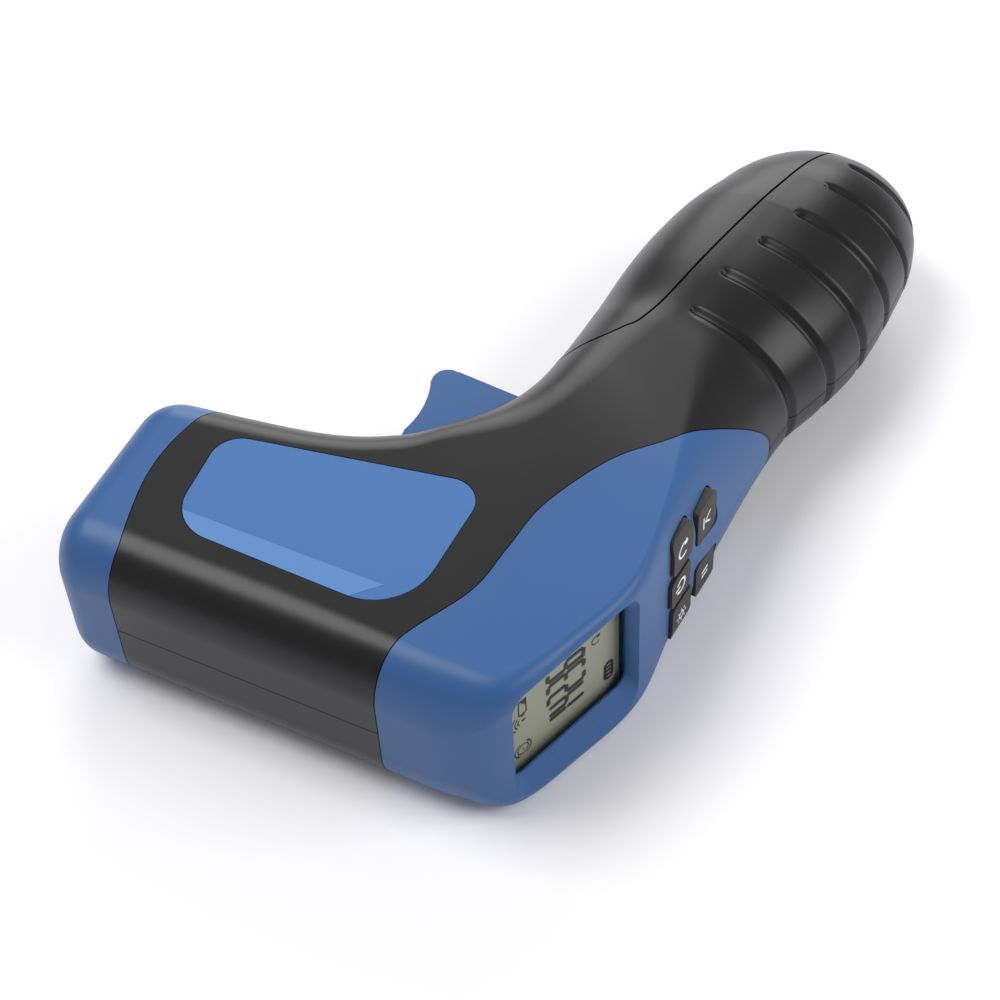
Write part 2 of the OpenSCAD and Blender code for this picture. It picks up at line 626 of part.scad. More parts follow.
// Coil spring between the trigger's back and a post
spring_turns = 4;
spring_radius = 2.2;
spring_wire = 0.35;
spring_steps = 10;
spring_length = spring_wall_x - 0.05 - trigger_back - 0.3;
spring_place = [trigger_back + 0.3, trigger_foot - 6, half - 3.6];
module trigger_spring() color("#b0b3b8") translate(spring_place) {
    rings = [for (k = [0:spring_turns * spring_steps])
        let (turn = 360 * k / spring_steps, share = k / (spring_turns * spring_steps),
             x = spring_wire + (spring_length - 2 * spring_wire) * share)
        [for (a = [0:60:300]) let (r = spring_radius + spring_wire * cos(a))
            [x + spring_wire * sin(a), r * cos(turn), r * sin(turn)]]];
    last = len(rings) - 1;
    polyhedron([for (ring = rings) each ring], concat(
        [for (i = [0:last - 1], j = [0:5]) let (a = i * 6 + j, b = i * 6 + (j + 1) % 6)
            each [[a, b, b + 6], [a, b + 6, a + 6]]],
        [[5, 4, 3, 2, 1, 0], [for (j = [0:5]) last * 6 + j]]));
}

module door_pin() color("#b0b3b8") at_door_pin(-door_pin_length / 2)
    cylinder(r = door_pin_radius - 0.02, h = door_pin_length);
// Ribs inside the door that press on the battery
rib_pitch = 6.5;
module battery_door() color("#2b2b2d") difference() {
    union() {
        difference() {
            intersection() {
                shell();
                door_region(-hinge_play / 2);
            }
            for (side = [-1, 1]) at_door_pin(side > 0 ? knuckle_half : -lug_to - 0.3)
                cylinder(r = knuckle_radius + hinge_play, h = lug_to + 0.3 - knuckle_half);
        }
        at_door_pin(-knuckle_half) cylinder(r = knuckle_radius, h = 2 * knuckle_half);
        intersection() {
            inside_shell() for (k = [0:7]) on_battery() hull() for (z = [-half + 6, half - 6 - over])
                translate([-30, -24 + rib_pitch * k, z]) cube([30 - battery_thick / 2 - 0.6, 1.2, over]);
            door_region(-4);
        }
    }
    at_door_pin(-half) cylinder(r = door_pin_radius + 0.05, h = body_width);
}

module side_label() color("#4173b4") label_plate(body_width - label_recess + 0.05, label_thick, 0);
stud_place = 6.35;
function stud_radius(side) = side > 0 ? 2.8 : 3.4;
snap_back = 3;
snap_size = [12, snap_back + stud_height - 0.2, 25];
module battery() color("#3b3b40") on_battery() {
    translate([-battery_thick / 2, -battery_length / 2, -battery_width / 2])
        cube([battery_thick, battery_length, battery_width]);
    for (side = [-1, 1]) translate([0, -battery_length / 2, side * stud_place]) rotate([90, 0, 0])
        cylinder(r = stud_radius(side), h = stud_height);
}
module battery_snap() color("#232325") on_battery() difference() {
    translate([-snap_size[0] / 2, -battery_length / 2 - stud_height - snap_back, -snap_size[2] / 2])
        cube(snap_size);
    for (side = [-1, 1]) translate([0, -battery_length / 2, side * stud_place]) rotate([90, 0, 0])
        cylinder(r = stud_radius(side) + 0.2, h = stud_height + 0.1);
}
shank = screw_radius - 0.02;
module housing_screws() color("#a9acb1") for (p = screw_places)
    translate([p[0], p[1], screw_seat]) rotate_extrude($fn = 24)
        polygon([[0, -2], [screw_head - 0.4, -2], [screw_head, -1.4], [screw_head, 0], [shank, 0],
            [shank, screw_tip - screw_seat - 1], [0, screw_tip - screw_seat - 0.2]]);

right_housing();
left_housing();
front_bezel();
rear_panel();
battery_door();
door_pin();
trigger();
trigger_pin();
trigger_spring();
trigger_switch();
key(0);  // key_power
key(1);  // key_upper_right
key(2);  // key_lower_right
key(3);  // key_upper_left
key(4);  // key_lower_left
key_mat();
lcd_window();
lcd_glass();
display_board();
main_board();
board_screws();
front_plate();
receiver_lens();
optics_holder();
laser_module();
photo_sensor();
side_label();
battery();
battery_snap();
housing_screws();
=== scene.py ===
"""Looks of a pistol-shaped laser tachometer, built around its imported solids."""

from __future__ import annotations

import json
import logging
import math
from contextlib import contextmanager
from dataclasses import dataclass, field, replace
from enum import Enum
from typing import Callable, Iterable, Iterator, Sequence

import bpy
import numpy as np
from mathutils import Matrix, Vector

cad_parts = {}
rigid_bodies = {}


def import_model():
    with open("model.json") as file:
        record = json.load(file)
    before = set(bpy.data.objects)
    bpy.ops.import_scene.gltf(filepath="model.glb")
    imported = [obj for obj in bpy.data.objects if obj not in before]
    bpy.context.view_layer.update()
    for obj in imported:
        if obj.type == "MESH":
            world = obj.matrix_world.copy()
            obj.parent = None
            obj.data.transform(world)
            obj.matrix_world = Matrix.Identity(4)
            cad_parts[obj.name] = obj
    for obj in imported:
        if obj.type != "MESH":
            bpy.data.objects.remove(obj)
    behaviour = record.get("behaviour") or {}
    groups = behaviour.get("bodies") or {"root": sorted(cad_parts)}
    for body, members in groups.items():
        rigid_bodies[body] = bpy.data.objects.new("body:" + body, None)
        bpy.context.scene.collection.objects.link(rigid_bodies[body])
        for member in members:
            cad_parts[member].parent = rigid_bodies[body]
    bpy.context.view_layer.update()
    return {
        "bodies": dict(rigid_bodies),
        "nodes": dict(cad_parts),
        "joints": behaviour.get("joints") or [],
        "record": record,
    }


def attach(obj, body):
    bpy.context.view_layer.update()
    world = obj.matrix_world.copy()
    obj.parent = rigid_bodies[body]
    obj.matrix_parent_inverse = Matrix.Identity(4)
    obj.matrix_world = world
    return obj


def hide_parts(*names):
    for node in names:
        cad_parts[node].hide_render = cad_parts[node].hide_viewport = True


LOG = logging.getLogger("tachometer")
MM = 0.001
Colour = tuple[float, float, float]
Point = tuple[float, float]
Place = tuple[float, float, float]


def rgb(red: int, green: int, blue: int) -> Colour:
    """Turns a screen colour into the linear one that a shader takes.

    Args:
        red: Red from 0 to 255.
        green: Green from 0 to 255.
        blue: Blue from 0 to 255.

    Returns:
        The linear colour.
    """

    def linear(level: int) -> float:
        """Gives the linear value of one screen level."""
        share = level / 255
        return share / 12.92 if share <= 0.04045 else ((share + 0.055) / 1.055) ** 2.4

    return linear(red), linear(green), linear(blue)


def scaled(colour: Colour, share: float) -> Colour:
    """Gives a colour that is lighter or darker by a share."""
    return colour[0] * share, colour[1] * share, colour[2] * share


class Value:
    """A number in a shader, which takes part in Python expressions."""

    def __init__(self, graph: Graph, socket: bpy.types.NodeSocket) -> None:
        """Wraps a socket of a graph."""
        self.graph = graph
        self.socket = socket

    def _with(self, operation: str, first: object, second: object) -> Value:
        """Adds one Math node for an operation on two values."""
        node = self.graph.node("ShaderNodeMath", {"operation": operation}, {0: first, 1: second})
        return Value(self.graph, node.outputs[0])

    def __add__(self, other: object) -> Value:
        """Adds."""
        return self._with("ADD", self, other)

    __radd__ = __add__

    def __sub__(self, other: object) -> Value:
        """Subtracts."""
        return self._with("SUBTRACT", self, other)

    def __mul__(self, other: object) -> Value:
        """Multiplies."""
        return self._with("MULTIPLY", self, other)

    def __gt__(self, other: object) -> Value:
        """Is 1 where this value is greater."""
        return self._with("GREATER_THAN", self, other)

    def swing(self, amount: float) -> Value:
        """Gives how far this value lies from one half, times an amount."""
        return (self - 0.5) * amount


class Graph:
    """The node tree of one material."""

    def __init__(self, name: str) -> None:
        """Starts a material with one Principled shader."""
        self.material = bpy.data.materials.new(name)
        self.material.use_nodes = True
        self.tree = self.material.node_tree
        self.shader = self.tree.nodes["Principled BSDF"]

    def node(self, kind: str, settings: dict | None = None, inputs: dict | None = None) -> bpy.types.Node:
        """Adds a node.

        Args:
            kind: The node's type.
            settings: Properties of the node, set first.
            inputs: Values or links of its sockets, by name or number.

        Returns:
            The new node.
        """
        node = self.tree.nodes.new(kind)
        for key, value in (settings or {}).items():
            setattr(node, key, value)
        for key, value in (inputs or {}).items():
            self.feed(node.inputs[key], value)
        return node

    def feed(self, socket: bpy.types.NodeSocket, value: object) -> None:
        """Links a socket to a value, or sets it."""
        if isinstance(value, Value):
            self.tree.links.new(value.socket, socket)
        elif isinstance(value, bpy.types.NodeSocket):
            self.tree.links.new(value, socket)
        elif socket.type == "RGBA" and len(value) == 3:
            socket.default_value = (*value, 1)
        else:
            socket.default_value = value

    def place(self) -> bpy.types.NodeSocket:
        """Gives the object's own coordinates, in metres."""
        return self.node("ShaderNodeTexCoord").outputs["Object"]

    def noise(self, size: float, detail: float = 2, roughness: float = 0.5) -> Value:
        """Gives a noise from 0 to 1.

        Args:
            size: Size of its grain, in metres.
            detail: Its octaves.
            roughness: The share of the finer octaves.

        Returns:
            The noise.
        """
        sockets = {"Vector": self.place(), "Scale": 1 / size, "Detail": detail, "Roughness": roughness}
        return Value(self, self.node("ShaderNodeTexNoise", None, sockets).outputs["Fac"])

    def blend(self, share: Value, low: object, high: object) -> bpy.types.NodeSocket:
        """Mixes two colours by a share."""
        node = self.node("ShaderNodeMix", {"data_type": "RGBA"}, {"Factor": share, 6: low, 7: high})
        return node.outputs[2]

    def bump(self, height: Value, depth: float, strength: float = 1.0) -> bpy.types.NodeSocket:
        """Gives a normal that follows a height from 0 to 1, which is a depth in metres."""
        sockets = {"Height": height, "Distance": depth, "Strength": strength}
        return self.node("ShaderNodeBump", None, sockets).outputs["Normal"]

    def finish(self, **sockets: object) -> bpy.types.Material:
        """Feeds the shader's sockets, named with _ for a space, and gives the material."""
        for key, value in sockets.items():
            self.feed(self.shader.inputs[key.replace("_", " ")], value)
        return self.material


@dataclass(frozen=True)
class MouldedPlastic:
    """Satin plastic with the fine grain of an eroded mould."""

    name: str
    colour: Colour
    roughness: float
    grain_size: float = 0.3 * MM
    grain_depth: float = 0.008 * MM
    grain_rough: float = 0.08
    cloud_size: float = 26 * MM
    cloud_rough: float = 0.06
    tone: float = 0.06
    gloss: float = 0.35

    def material(self) -> bpy.types.Material:
        """Makes the material."""
        graph = Graph(self.name)
        grain = graph.noise(self.grain_size, 2, 0.6)
        cloud = graph.noise(self.cloud_size, 3, 0.55)
        colour = graph.blend(cloud, scaled(self.colour, 1 - self.tone), scaled(self.colour, 1 + self.tone))
        rough = self.roughness + grain.swing(self.grain_rough) + cloud.swing(self.cloud_rough)
        normal = graph.bump(grain, self.grain_depth)
        return graph.finish(Base_Color=colour, Roughness=rough, Normal=normal, Specular_IOR_Level=self.gloss)


@dataclass(frozen=True)
class LabelFilm:
    """Printed film with a faint orange peel."""

    name: str
    colour: Colour
    roughness: float = 0.34
    peel_size: float = 1.1 * MM
    peel_depth: float = 0.006 * MM
    dust_size: float = 0.25 * MM
    dust_rough: float = 0.1
    tone: float = 0.05

    def material(self) -> bpy.types.Material:
        """Makes the material."""
        graph = Graph(self.name)
        peel = graph.noise(self.peel_size)
        dust = graph.noise(self.dust_size, 1)
        colour = graph.blend(dust, scaled(self.colour, 1 - self.tone), scaled(self.colour, 1 + self.tone))
        rough = self.roughness + dust.swing(self.dust_rough)
        return graph.finish(Base_Color=colour, Roughness=rough, Normal=graph.bump(peel, self.peel_depth))


@dataclass(frozen=True)
class Ink:
    """Opaque print."""

    name: str
    colour: Colour
    roughness: float = 0.45
    speck_size: float = 0.2 * MM
    speck_rough: float = 0.1
    tone: float = 0.07

    def material(self) -> bpy.types.Material:
        """Makes the material."""
        graph = Graph(self.name)
        speck = graph.noise(self.speck_size)
        colour = graph.blend(speck, scaled(self.colour, 1 - self.tone), self.colour)
        return graph.finish(Base_Color=colour, Roughness=self.roughness + speck.swing(self.speck_rough))


@dataclass(frozen=True)
class ClearPlate:
    """Clear plastic or glass that shows what lies behind it."""

    name: str
    tint: Colour
    alpha: float
    roughness: float = 0.06
    haze_size: float = 4 * MM
    haze_rough: float = 0.03
    index: float = 1.49

    def material(self) -> bpy.types.Material:
        """Makes the material."""
        graph = Graph(self.name)
        rough = self.roughness + graph.noise(self.haze_size).swing(self.haze_rough)
        return graph.finish(Base_Color=self.tint, Roughness=rough, Alpha=self.alpha, IOR=self.index)


@dataclass(frozen=True)
class BareMetal:
    """Bright metal with fine turning marks."""

    name: str
    colour: Colour
    roughness: float
    mark_size: float = 0.3 * MM
    mark_depth: float = 0.004 * MM
    mark_rough: float = 0.2
    tone: float = 0.12

    def material(self) -> bpy.types.Material:
        """Makes the material."""
        graph = Graph(self.name)
        marks = graph.noise(self.mark_size, 4, 0.7)
        colour = graph.blend(marks, scaled(self.colour, 1 - self.tone), self.colour)
        rough = self.roughness + marks.swing(self.mark_rough)
        normal = graph.bump(marks, self.mark_depth)
        return graph.finish(Base_Color=colour, Roughness=rough, Metallic=1.0, Normal=normal)


@dataclass(frozen=True)
class BoardLacquer:
    """Solder lacquer over copper tracks."""

    name: str
    colour: Colour
    roughness: float = 0.3
    cell_size: float = 2.4 * MM
    track_edge: float = 0.62
    track_tone: float = 1.7
    track_depth: float = 0.03 * MM

    def material(self) -> bpy.types.Material:
        """Makes the material."""
        graph = Graph(self.name)
        settings = {"feature": "F1", "distance": "MANHATTAN"}
        sockets = {"Vector": graph.place(), "Scale": 1 / self.cell_size}
        cells = Value(graph, graph.node("ShaderNodeTexVoronoi", settings, sockets).outputs["Distance"])
        track = cells > self.track_edge
        colour = graph.blend(track, self.colour, scaled(self.colour, self.track_tone))
        normal = graph.bump(track, self.track_depth, 0.5)
        return graph.finish(Base_Color=colour, Roughness=self.roughness, Normal=normal)


class Paint(Enum):
    """Every finish of the tool."""

    BLACK = MouldedPlastic("black_moulding", rgb(24, 22, 24), 0.33, gloss=0.34)
    BLUE = MouldedPlastic("blue_moulding", rgb(49, 89, 141), 0.4, tone=0.04)
    INNER = MouldedPlastic("inner_moulding", rgb(26, 26, 28), 0.55)
    KEY = MouldedPlastic("key_rubber", rgb(52, 48, 46), 0.55, 0.3 * MM, 0.012 * MM)
    MAT = MouldedPlastic("mat_rubber", rgb(40, 40, 42), 0.6, 0.5 * MM, 0.02 * MM)
    JACKET = MouldedPlastic("battery_jacket", rgb(56, 58, 64), 0.3, 0.8 * MM, 0.004 * MM)
    LABEL = LabelFilm("label_film", rgb(58, 104, 162))
    BAND = LabelFilm("label_band", rgb(82, 126, 180))
    DISPLAY = LabelFilm("display_film", rgb(154, 156, 136), 0.4)
    WHITE = Ink("white_print", rgb(232, 234, 236))
    SEGMENT = Ink("display_segment", rgb(20, 8, 7), 0.5)
    GHOST = Ink("display_field", rgb(154, 156, 136), 0.4)
    WINDOW = ClearPlate("clear_window", (0.05, 0.055, 0.055), 0.05)
    LENS = ClearPlate("lens_glass", (0.75, 0.82, 0.9), 0.35, 0.03)
    STEEL = BareMetal("bright_steel", (0.62, 0.63, 0.65), 0.28)
    BRASS = BareMetal("turned_brass", (0.72, 0.52, 0.22), 0.3)
    BOARD = BoardLacquer("board_lacquer", rgb(26, 80, 46))


class Palette:
    """Makes each finish's material once."""

    def __init__(self) -> None:
        """Starts with no material."""
        self.made: dict[Paint, bpy.types.Material] = {}

    def give(self, piece: bpy.types.Object, paint: Paint) -> None:
        """Puts one finish all over a piece."""
        if paint not in self.made:
            self.made[paint] = paint.value.material()
        piece.data.materials.clear()
        piece.data.materials.append(self.made[paint])


class Bench:
    """Modelling operators, each on one piece at a time."""

    solid_merge = 0.001 * MM
    ring_merge = 0.0005 * MM

    @staticmethod
    def only(*pieces: bpy.types.Object) -> None:
        """Selects these pieces and no other."""
        bpy.ops.object.select_all(action="DESELECT")
        for piece in pieces:
            piece.select_set(True)
        bpy.context.view_layer.objects.active = pieces[0]

    @staticmethod
    def started(name: str) -> bpy.types.Object:
        """Names the primitive that was just added."""
        piece = bpy.context.view_layer.objects.active
        piece.name = name
        piece.data.name = name
        return piece

    @classmethod
    @contextmanager
    def editing(cls, piece: bpy.types.Object) -> Iterator[None]:
        """Opens a piece for editing with all of it selected, and closes it afterwards."""
        cls.only(piece)
        bpy.ops.object.mode_set(mode="EDIT")
        bpy.ops.mesh.select_all(action="SELECT")
        yield
        bpy.ops.object.mode_set(mode="OBJECT")

    @classmethod
    def copy_of(cls, node: bpy.types.Object, name: str) -> bpy.types.Object:
        """Copies a solid's mesh into a piece of its own, with its doubles merged."""
        piece = bpy.data.objects.new(name, node.data.copy())
        bpy.context.scene.collection.objects.link(piece)
        with cls.editing(piece):
            bpy.ops.mesh.remove_doubles(threshold=cls.solid_merge)
            bpy.ops.mesh.customdata_custom_splitnormals_clear()
        return piece

    @classmethod
    def ringed(cls, name: str, rings: np.ndarray) -> bpy.types.Object:
        """Makes a closed solid through rings of points, from a grid that is bent round and capped.

        Args:
            name: The piece's name.
            rings: Rings, points and coordinates, in millimetres.

        Returns:
            The solid.
        """
        rows, count = rings.shape[:2]
        bpy.ops.object.select_all(action="DESELECT")
        bpy.ops.mesh.primitive_grid_add(x_subdivisions=count, y_subdivisions=rows - 1)
        piece = cls.started(name)
        closed = np.concatenate([rings, rings[:, :1]], axis=1) * MM
        piece.data.vertices.foreach_set("co", closed.astype(np.float32).ravel())
        with cls.editing(piece):
            bpy.ops.mesh.remove_doubles(threshold=cls.ring_merge)
            bpy.ops.mesh.fill_holes(sides=0)
            bpy.ops.mesh.select_all(action="SELECT")
            bpy.ops.mesh.normals_make_consistent(inside=False)
        return piece

    @classmethod
    def smooth(cls, piece: bpy.types.Object, degrees: float) -> None:
        """Shades a piece smooth up to an angle, with its large faces leading."""
        cls.only(piece)
        bpy.ops.object.shade_smooth_by_angle(angle=math.radians(degrees))
        cls.modify(piece, "WEIGHTED_NORMAL", keep_sharp=True, weight=60)

    @classmethod
    def modify(cls, piece: bpy.types.Object, kind: str, **settings: object) -> None:
        """Adds a modifier with its settings and applies it."""
        cls.only(piece)
        modifier = piece.modifiers.new(kind.lower(), kind)
        for key, value in settings.items():
            setattr(modifier, key, value)
        bpy.ops.object.modifier_apply(modifier=modifier.name)

    @classmethod
    def soften(cls, piece: bpy.types.Object, radius: float, segments: int, degrees: float) -> None:
        """Rounds the edges that are sharper than an angle."""
        cls.modify(
            piece, "BEVEL", width=radius * MM, segments=segments, limit_method="ANGLE",
            angle_limit=math.radians(degrees))

    @classmethod
    def carve(cls, piece: bpy.types.Object, tool: bpy.types.Object, operation: str = "DIFFERENCE") -> None:
        """Cuts a piece with a solid, which is then thrown away."""
        cls.modify(piece, "BOOLEAN", operation=operation, object=tool, solver="MANIFOLD")
        bpy.data.objects.remove(tool)

    @classmethod
    def joined(cls, pieces: Sequence[bpy.types.Object], name: str) -> bpy.types.Object:
        """Joins pieces into one."""
        cls.only(*pieces)
        bpy.ops.object.join()
        return cls.started(name)


def curve(rows: np.ndarray, place: float) -> np.ndarray:
    """Gives a point of the smooth curve through rows of numbers.

    Args:
        rows: The rows.
        place: A place along the curve, counted in rows.

    Returns:
        The row at that place.
    """
    last = len(rows) - 1
    i = min(int(place), last - 1)
    u = place - i
    a, b, c, d = rows[max(i - 1, 0)], rows[i], rows[i + 1], rows[min(i + 2, last)]
    return (2 * b + (c - a) * u + (2 * a - 5 * b + 4 * c - d) * u**2 + (3 * b - a - 3 * c + d) * u**3) / 2


def ease(share: float) -> float:
    """Gives a soft step from 0 to 1."""
    level = min(max(share, 0), 1)
    return level * level * (3 - 2 * level)


def flared(share: float) -> float:
    """Gives a straight rise from 0 to 1 with a soft start and end."""
    return 0.5 * share + 0.5 * ease(share)


def rounded_ring(tall: float, wide: float, radius: float, steps: int = 10) -> np.ndarray:
    """Gives the outline of a rectangle with round corners, as places along and across a face."""
    corners = ((1, 1, 0), (-1, 1, 90), (-1, -1, 180), (1, -1, 270))
    points = []
    for y, z, start in corners:
        for k in range(steps + 1):
            turn = math.radians(start + 90 * k / steps)
            points.append((y * (tall / 2 - radius) + radius * math.cos(turn),
                           z * (wide / 2 - radius) + radius * math.sin(turn)))
    return np.array(points)


def circle(middle: Point, radius: float, steps: int = 40) -> np.ndarray:
    """Gives a circle's points in the side view."""
    turns = np.arange(steps) * 2 * math.pi / steps
    return np.array(middle) + radius * np.stack([np.cos(turns), np.sin(turns)], axis=1)


def box_outline(left: float, right: float, low: float, high: float) -> np.ndarray:
    """Gives a rectangle's corners in the side view."""
    return np.array(((left, low), (right, low), (right, high), (left, high)))


def prism(name: str, outline: np.ndarray, low: float, high: float) -> bpy.types.Object:
    """Makes a solid that stands on an outline in the side view, between two heights."""
    rings = [np.concatenate([outline, np.full((len(outline), 1), z)], axis=1) for z in (low, high)]
    return Bench.ringed(name, np.array(rings))


@dataclass(frozen=True)
class BodyForm:
    """The body's outer form: sections along a path in the side view, as in the solids but finer."""

    half: float = 18.5
    front: float = 40.5
    top: float = -24.0
    under: float = 24.0
    rear: float = 61.5
    crest: float = 1.0
    muzzle_rise: float = 3.8
    muzzle_round: float = 7.0
    groove_start: float = 70.7
    groove_pitch: float = 10.7
    groove_depth: float = 0.95
    groove_lip: float = 0.1
    groove_width: float = 0.27
    groove_round: float = 1.5
    groove_shift: float = 0.12
    groove_reach: float = 0.48
    groove_gain: float = 0.09
    groove_gain_run: float = 2.5
    grip_depth: float = 47.5
    grip_lean: float = 0.165
    grip_swell: tuple[float, ...] = (0.92, 0.985, 1.015, 0.985, 0.905)
    back_swell: tuple[float, ...] = (2.1, 5.6, 8.2, 9, 9)
    dome: float = 20.5
    dome_lean: float = 1.5
    dome_taper: float = 0.16
    dome_groove: float = 0.5
    dome_grooves_end: float = 0.85
    waist: tuple[float, ...] = (1.2, 0.3, 0, 0, 0.9)
    muzzle_end: float = 0.36
    neck_run: float = 1.2
    neck_grade: float = 0.55
    edge_grade: float = 1.5
    edge_steps: int = 28
    muzzle_rows: int = 13
    barrel_rows: int = 100
    neck_rows: int = 23
    pitch_rows: int = 40

    def grip_row(self, k: int) -> tuple[float, ...]:
        """Gives the section at a groove of the grip."""
        back = np.array((self.rear + self.back_swell[k], self.groove_start + k * self.groove_pitch))
        depth = self.grip_depth * self.grip_swell[k]
        wide = self.half - self.waist[k]
        front = back + depth * np.array((-1, self.grip_lean * (1 - k / 9)))
        side = wide - self.crest
        return *front, *back, wide, depth * 0.46, side, depth * 0.5, side

    def stations(self) -> np.ndarray:
        """Gives the sections from the muzzle to the last groove.

        Returns:
            For each, the point on the trigger side, the point on the back, the half width, and the depth and
            width of the two rounded edges.
        """
        half, top, under, rear = self.half, self.top, self.under, self.rear
        side = half - self.crest
        neck = half - self.waist[0]
        barrel = (9.8, half - 7.5)
        belly = (11, side)
        window = (2.8, 2.8)
        throat = (18, neck - self.crest)
        rows = [
            (-self.front, under - self.muzzle_rise, -self.front, top, half, *belly, *barrel),
            (-10, under + 0.8, -10, top, half, *belly, *barrel),
            (3, under + 6.2, rear - 37, top, half, *belly, *barrel),
            (9, under + 11.6, rear - 22, top + 0.3, half, *belly, 9, half - 7),
            (13.4, under + 17.4, rear - 13, top + 5.2, half, 13, side, 5, 5.5),
            (16.4, under + 23, rear - 7, top + 20.4, half, 15, side, *window),
            (18.4, under + 29.5, rear - 2.6, top + 35, half, 16, side, *window),
            (19.3, under + 37, rear - 2.3, top + 50.4, half - 0.3, 17, side - 0.3, 5.5, 8.5),
            (19.6, under + 43.2, rear - 0.2, top + 67, half - 0.9, 17, side - 0.9, 13, side - 1.4),
            (19.7, under + 48.4, rear + 0.7, self.groove_start - self.groove_pitch, neck, *throat, *throat),
        ]
        return np.array(rows + [self.grip_row(k) for k in range(len(self.grip_swell))])

    def muzzle_row(self, turn: float) -> np.ndarray:
        """Gives a section of the muzzle's round edge at a turn in degrees, with no groove."""
        inset = self.muzzle_round * (1 - math.sin(math.radians(turn)))
        shift = self.muzzle_round * (1 - math.cos(math.radians(turn)))
        rows = self.stations()
        places = np.linspace(0, 0.5, 26)
        place = np.interp(shift - self.front, [curve(rows, place)[0] for place in places], places)
        row = curve(rows, place) + np.array((0, -inset, 0, inset, *[-inset] * 5))
        return np.append(row, (0, 0, 0))

    def body_row(self, place: float) -> np.ndarray:
        """Gives a section between the stations, with its groove's share, depth and end."""
        rows = self.stations()
        count = place - (len(rows) - len(self.grip_swell)) + self.groove_shift
        depth = 0 if count < 0 else self.groove_depth
        return np.append(curve(rows, place), (count % 1, depth, self.groove_end(count)))

    def butt(self) -> tuple[np.ndarray, np.ndarray, np.ndarray]:
        """Gives the middle of the last section, half of its depth and the run to the butt's tip."""
        last = self.stations()[-1]
        middle = (last[0:2] + last[2:4]) / 2
        reach = last[2:4] - middle
        across = reach / np.linalg.norm(reach)
        run = self.dome * np.array((-across[1], across[0])) + self.dome_lean * across
        return middle, reach, run

    def dome_row(self, share: float) -> np.ndarray:
        """Gives a section of the butt's dome, with its groove's share, depth and end."""
        middle, reach, run = self.butt()
        size = math.sqrt(1 - share * share) - self.dome_taper * share * (1 - share)
        place = middle + share * run
        sizes = self.stations()[-1][4:] * size
        depth = self.groove_depth * size if share < self.dome_grooves_end else 0
        count = len(self.grip_swell) - 1 + share / self.dome_groove + self.groove_shift
        groove = (count % 1, depth, self.groove_end(count))
        return np.concatenate([place - size * reach, place + size * reach, sizes, groove])

    def groove_end(self, count: float) -> float:
        """Gives the share of the section's depth at which a groove ends, by the groove's number."""
        return self.groove_reach + self.groove_gain * ease((int(count) - 1) / self.groove_gain_run)

    def groove(self, share: float) -> float:
        """Gives a groove's depth at a share of its pitch: a steep lip, then a slower rise."""
        rise = (self.groove_width - share) / (self.groove_width - self.groove_lip)
        return min(ease(share / self.groove_lip), ease(rise))

    def groove_cut(self, row: np.ndarray, share: float, deep: float) -> float:
        """Gives how far a groove cuts in at a share of the section's depth, with a round end."""
        place, depth, end = row[9:]
        past = (share - end) * deep / self.groove_round
        if depth == 0 or past <= 0:
            return 0
        width = math.sqrt(1 - (1 - min(past, 1)) ** 2)
        middle = self.groove_width / 2
        return depth * math.sqrt(width) * self.groove((place - middle) / width + middle)

    def section(self, row: np.ndarray, inset: float, steps: int) -> np.ndarray:
        """Gives the closed ring of points at one row.

        Args:
            row: The section's numbers, the last three for its groove.
            inset: How far the ring lies inside the outer form.
            steps: Points on each rounded edge.

        Returns:
            The ring, in millimetres.
        """
        front, back = row[0:2], row[2:4]
        front_deep, front_wide, back_deep, back_wide = row[5:9]
        deep = np.linalg.norm(back - front)
        along = (back - front) / deep
        wide = min(row[4], self.half)
        edge = []
        turns = math.pi / 2 * (1 - (1 - np.arange(steps + 1) / steps) ** self.edge_grade)
        for turn in turns:
            cut = inset + self.groove_cut(row, front_deep / deep * (1 - math.cos(turn)), deep)
            edge.append((front_deep - (front_deep - cut) * math.cos(turn),
                         wide - front_wide + (front_wide - cut) * math.sin(turn)))
        for place in np.linspace(front_deep, deep - back_deep, 5)[1:-1]:
            edge.append((place, wide - inset - self.groove_cut(row, place / deep, deep)))
        for turn in turns[::-1]:
            cut = inset + self.groove_cut(row, 1 - back_deep / deep * (1 - math.cos(turn)), deep)
            edge.append((deep - back_deep + (back_deep - cut) * math.cos(turn),
                         wide - back_wide + (back_wide - cut) * math.sin(turn)))
        ring = edge + [(d, -w) for d, w in reversed(edge)]
        return np.array([(*(front + d * along), self.half + w) for d, w in ring])

    def solid(self, name: str, rows: Sequence[np.ndarray], inset: float, steps: int) -> bpy.types.Object:
        """Makes the solid through some rows."""
        return Bench.ringed(name, np.array([self.section(row, inset, steps) for row in rows]))

    def outer(self) -> bpy.types.Object:
        """Makes the fine outer solid, with rows that lie closer towards the first groove."""
        last = len(self.stations()) - 1
        grip = last + 1 - len(self.grip_swell)
        run, grade = self.neck_run, self.neck_grade
        places = list(np.linspace(self.muzzle_end, grip - run, self.barrel_rows))
        places += [grip - run * u * (1 + grade - grade * u) for u in np.linspace(1, 0, self.neck_rows)[1:-1]]
        places += list(np.arange(grip, last, 1 / self.pitch_rows))
        shares = [*np.arange(0, 0.95, self.dome_groove / self.pitch_rows), 0.955, 0.965, 0.975, 0.985]
        rows = [self.muzzle_row(turn) for turn in np.linspace(0, 90, self.muzzle_rows)]
        rows += [self.body_row(place) for place in places]
        rows += [self.dome_row(share) for share in shares]
        return self.solid("outer_form", rows, 0, self.edge_steps)

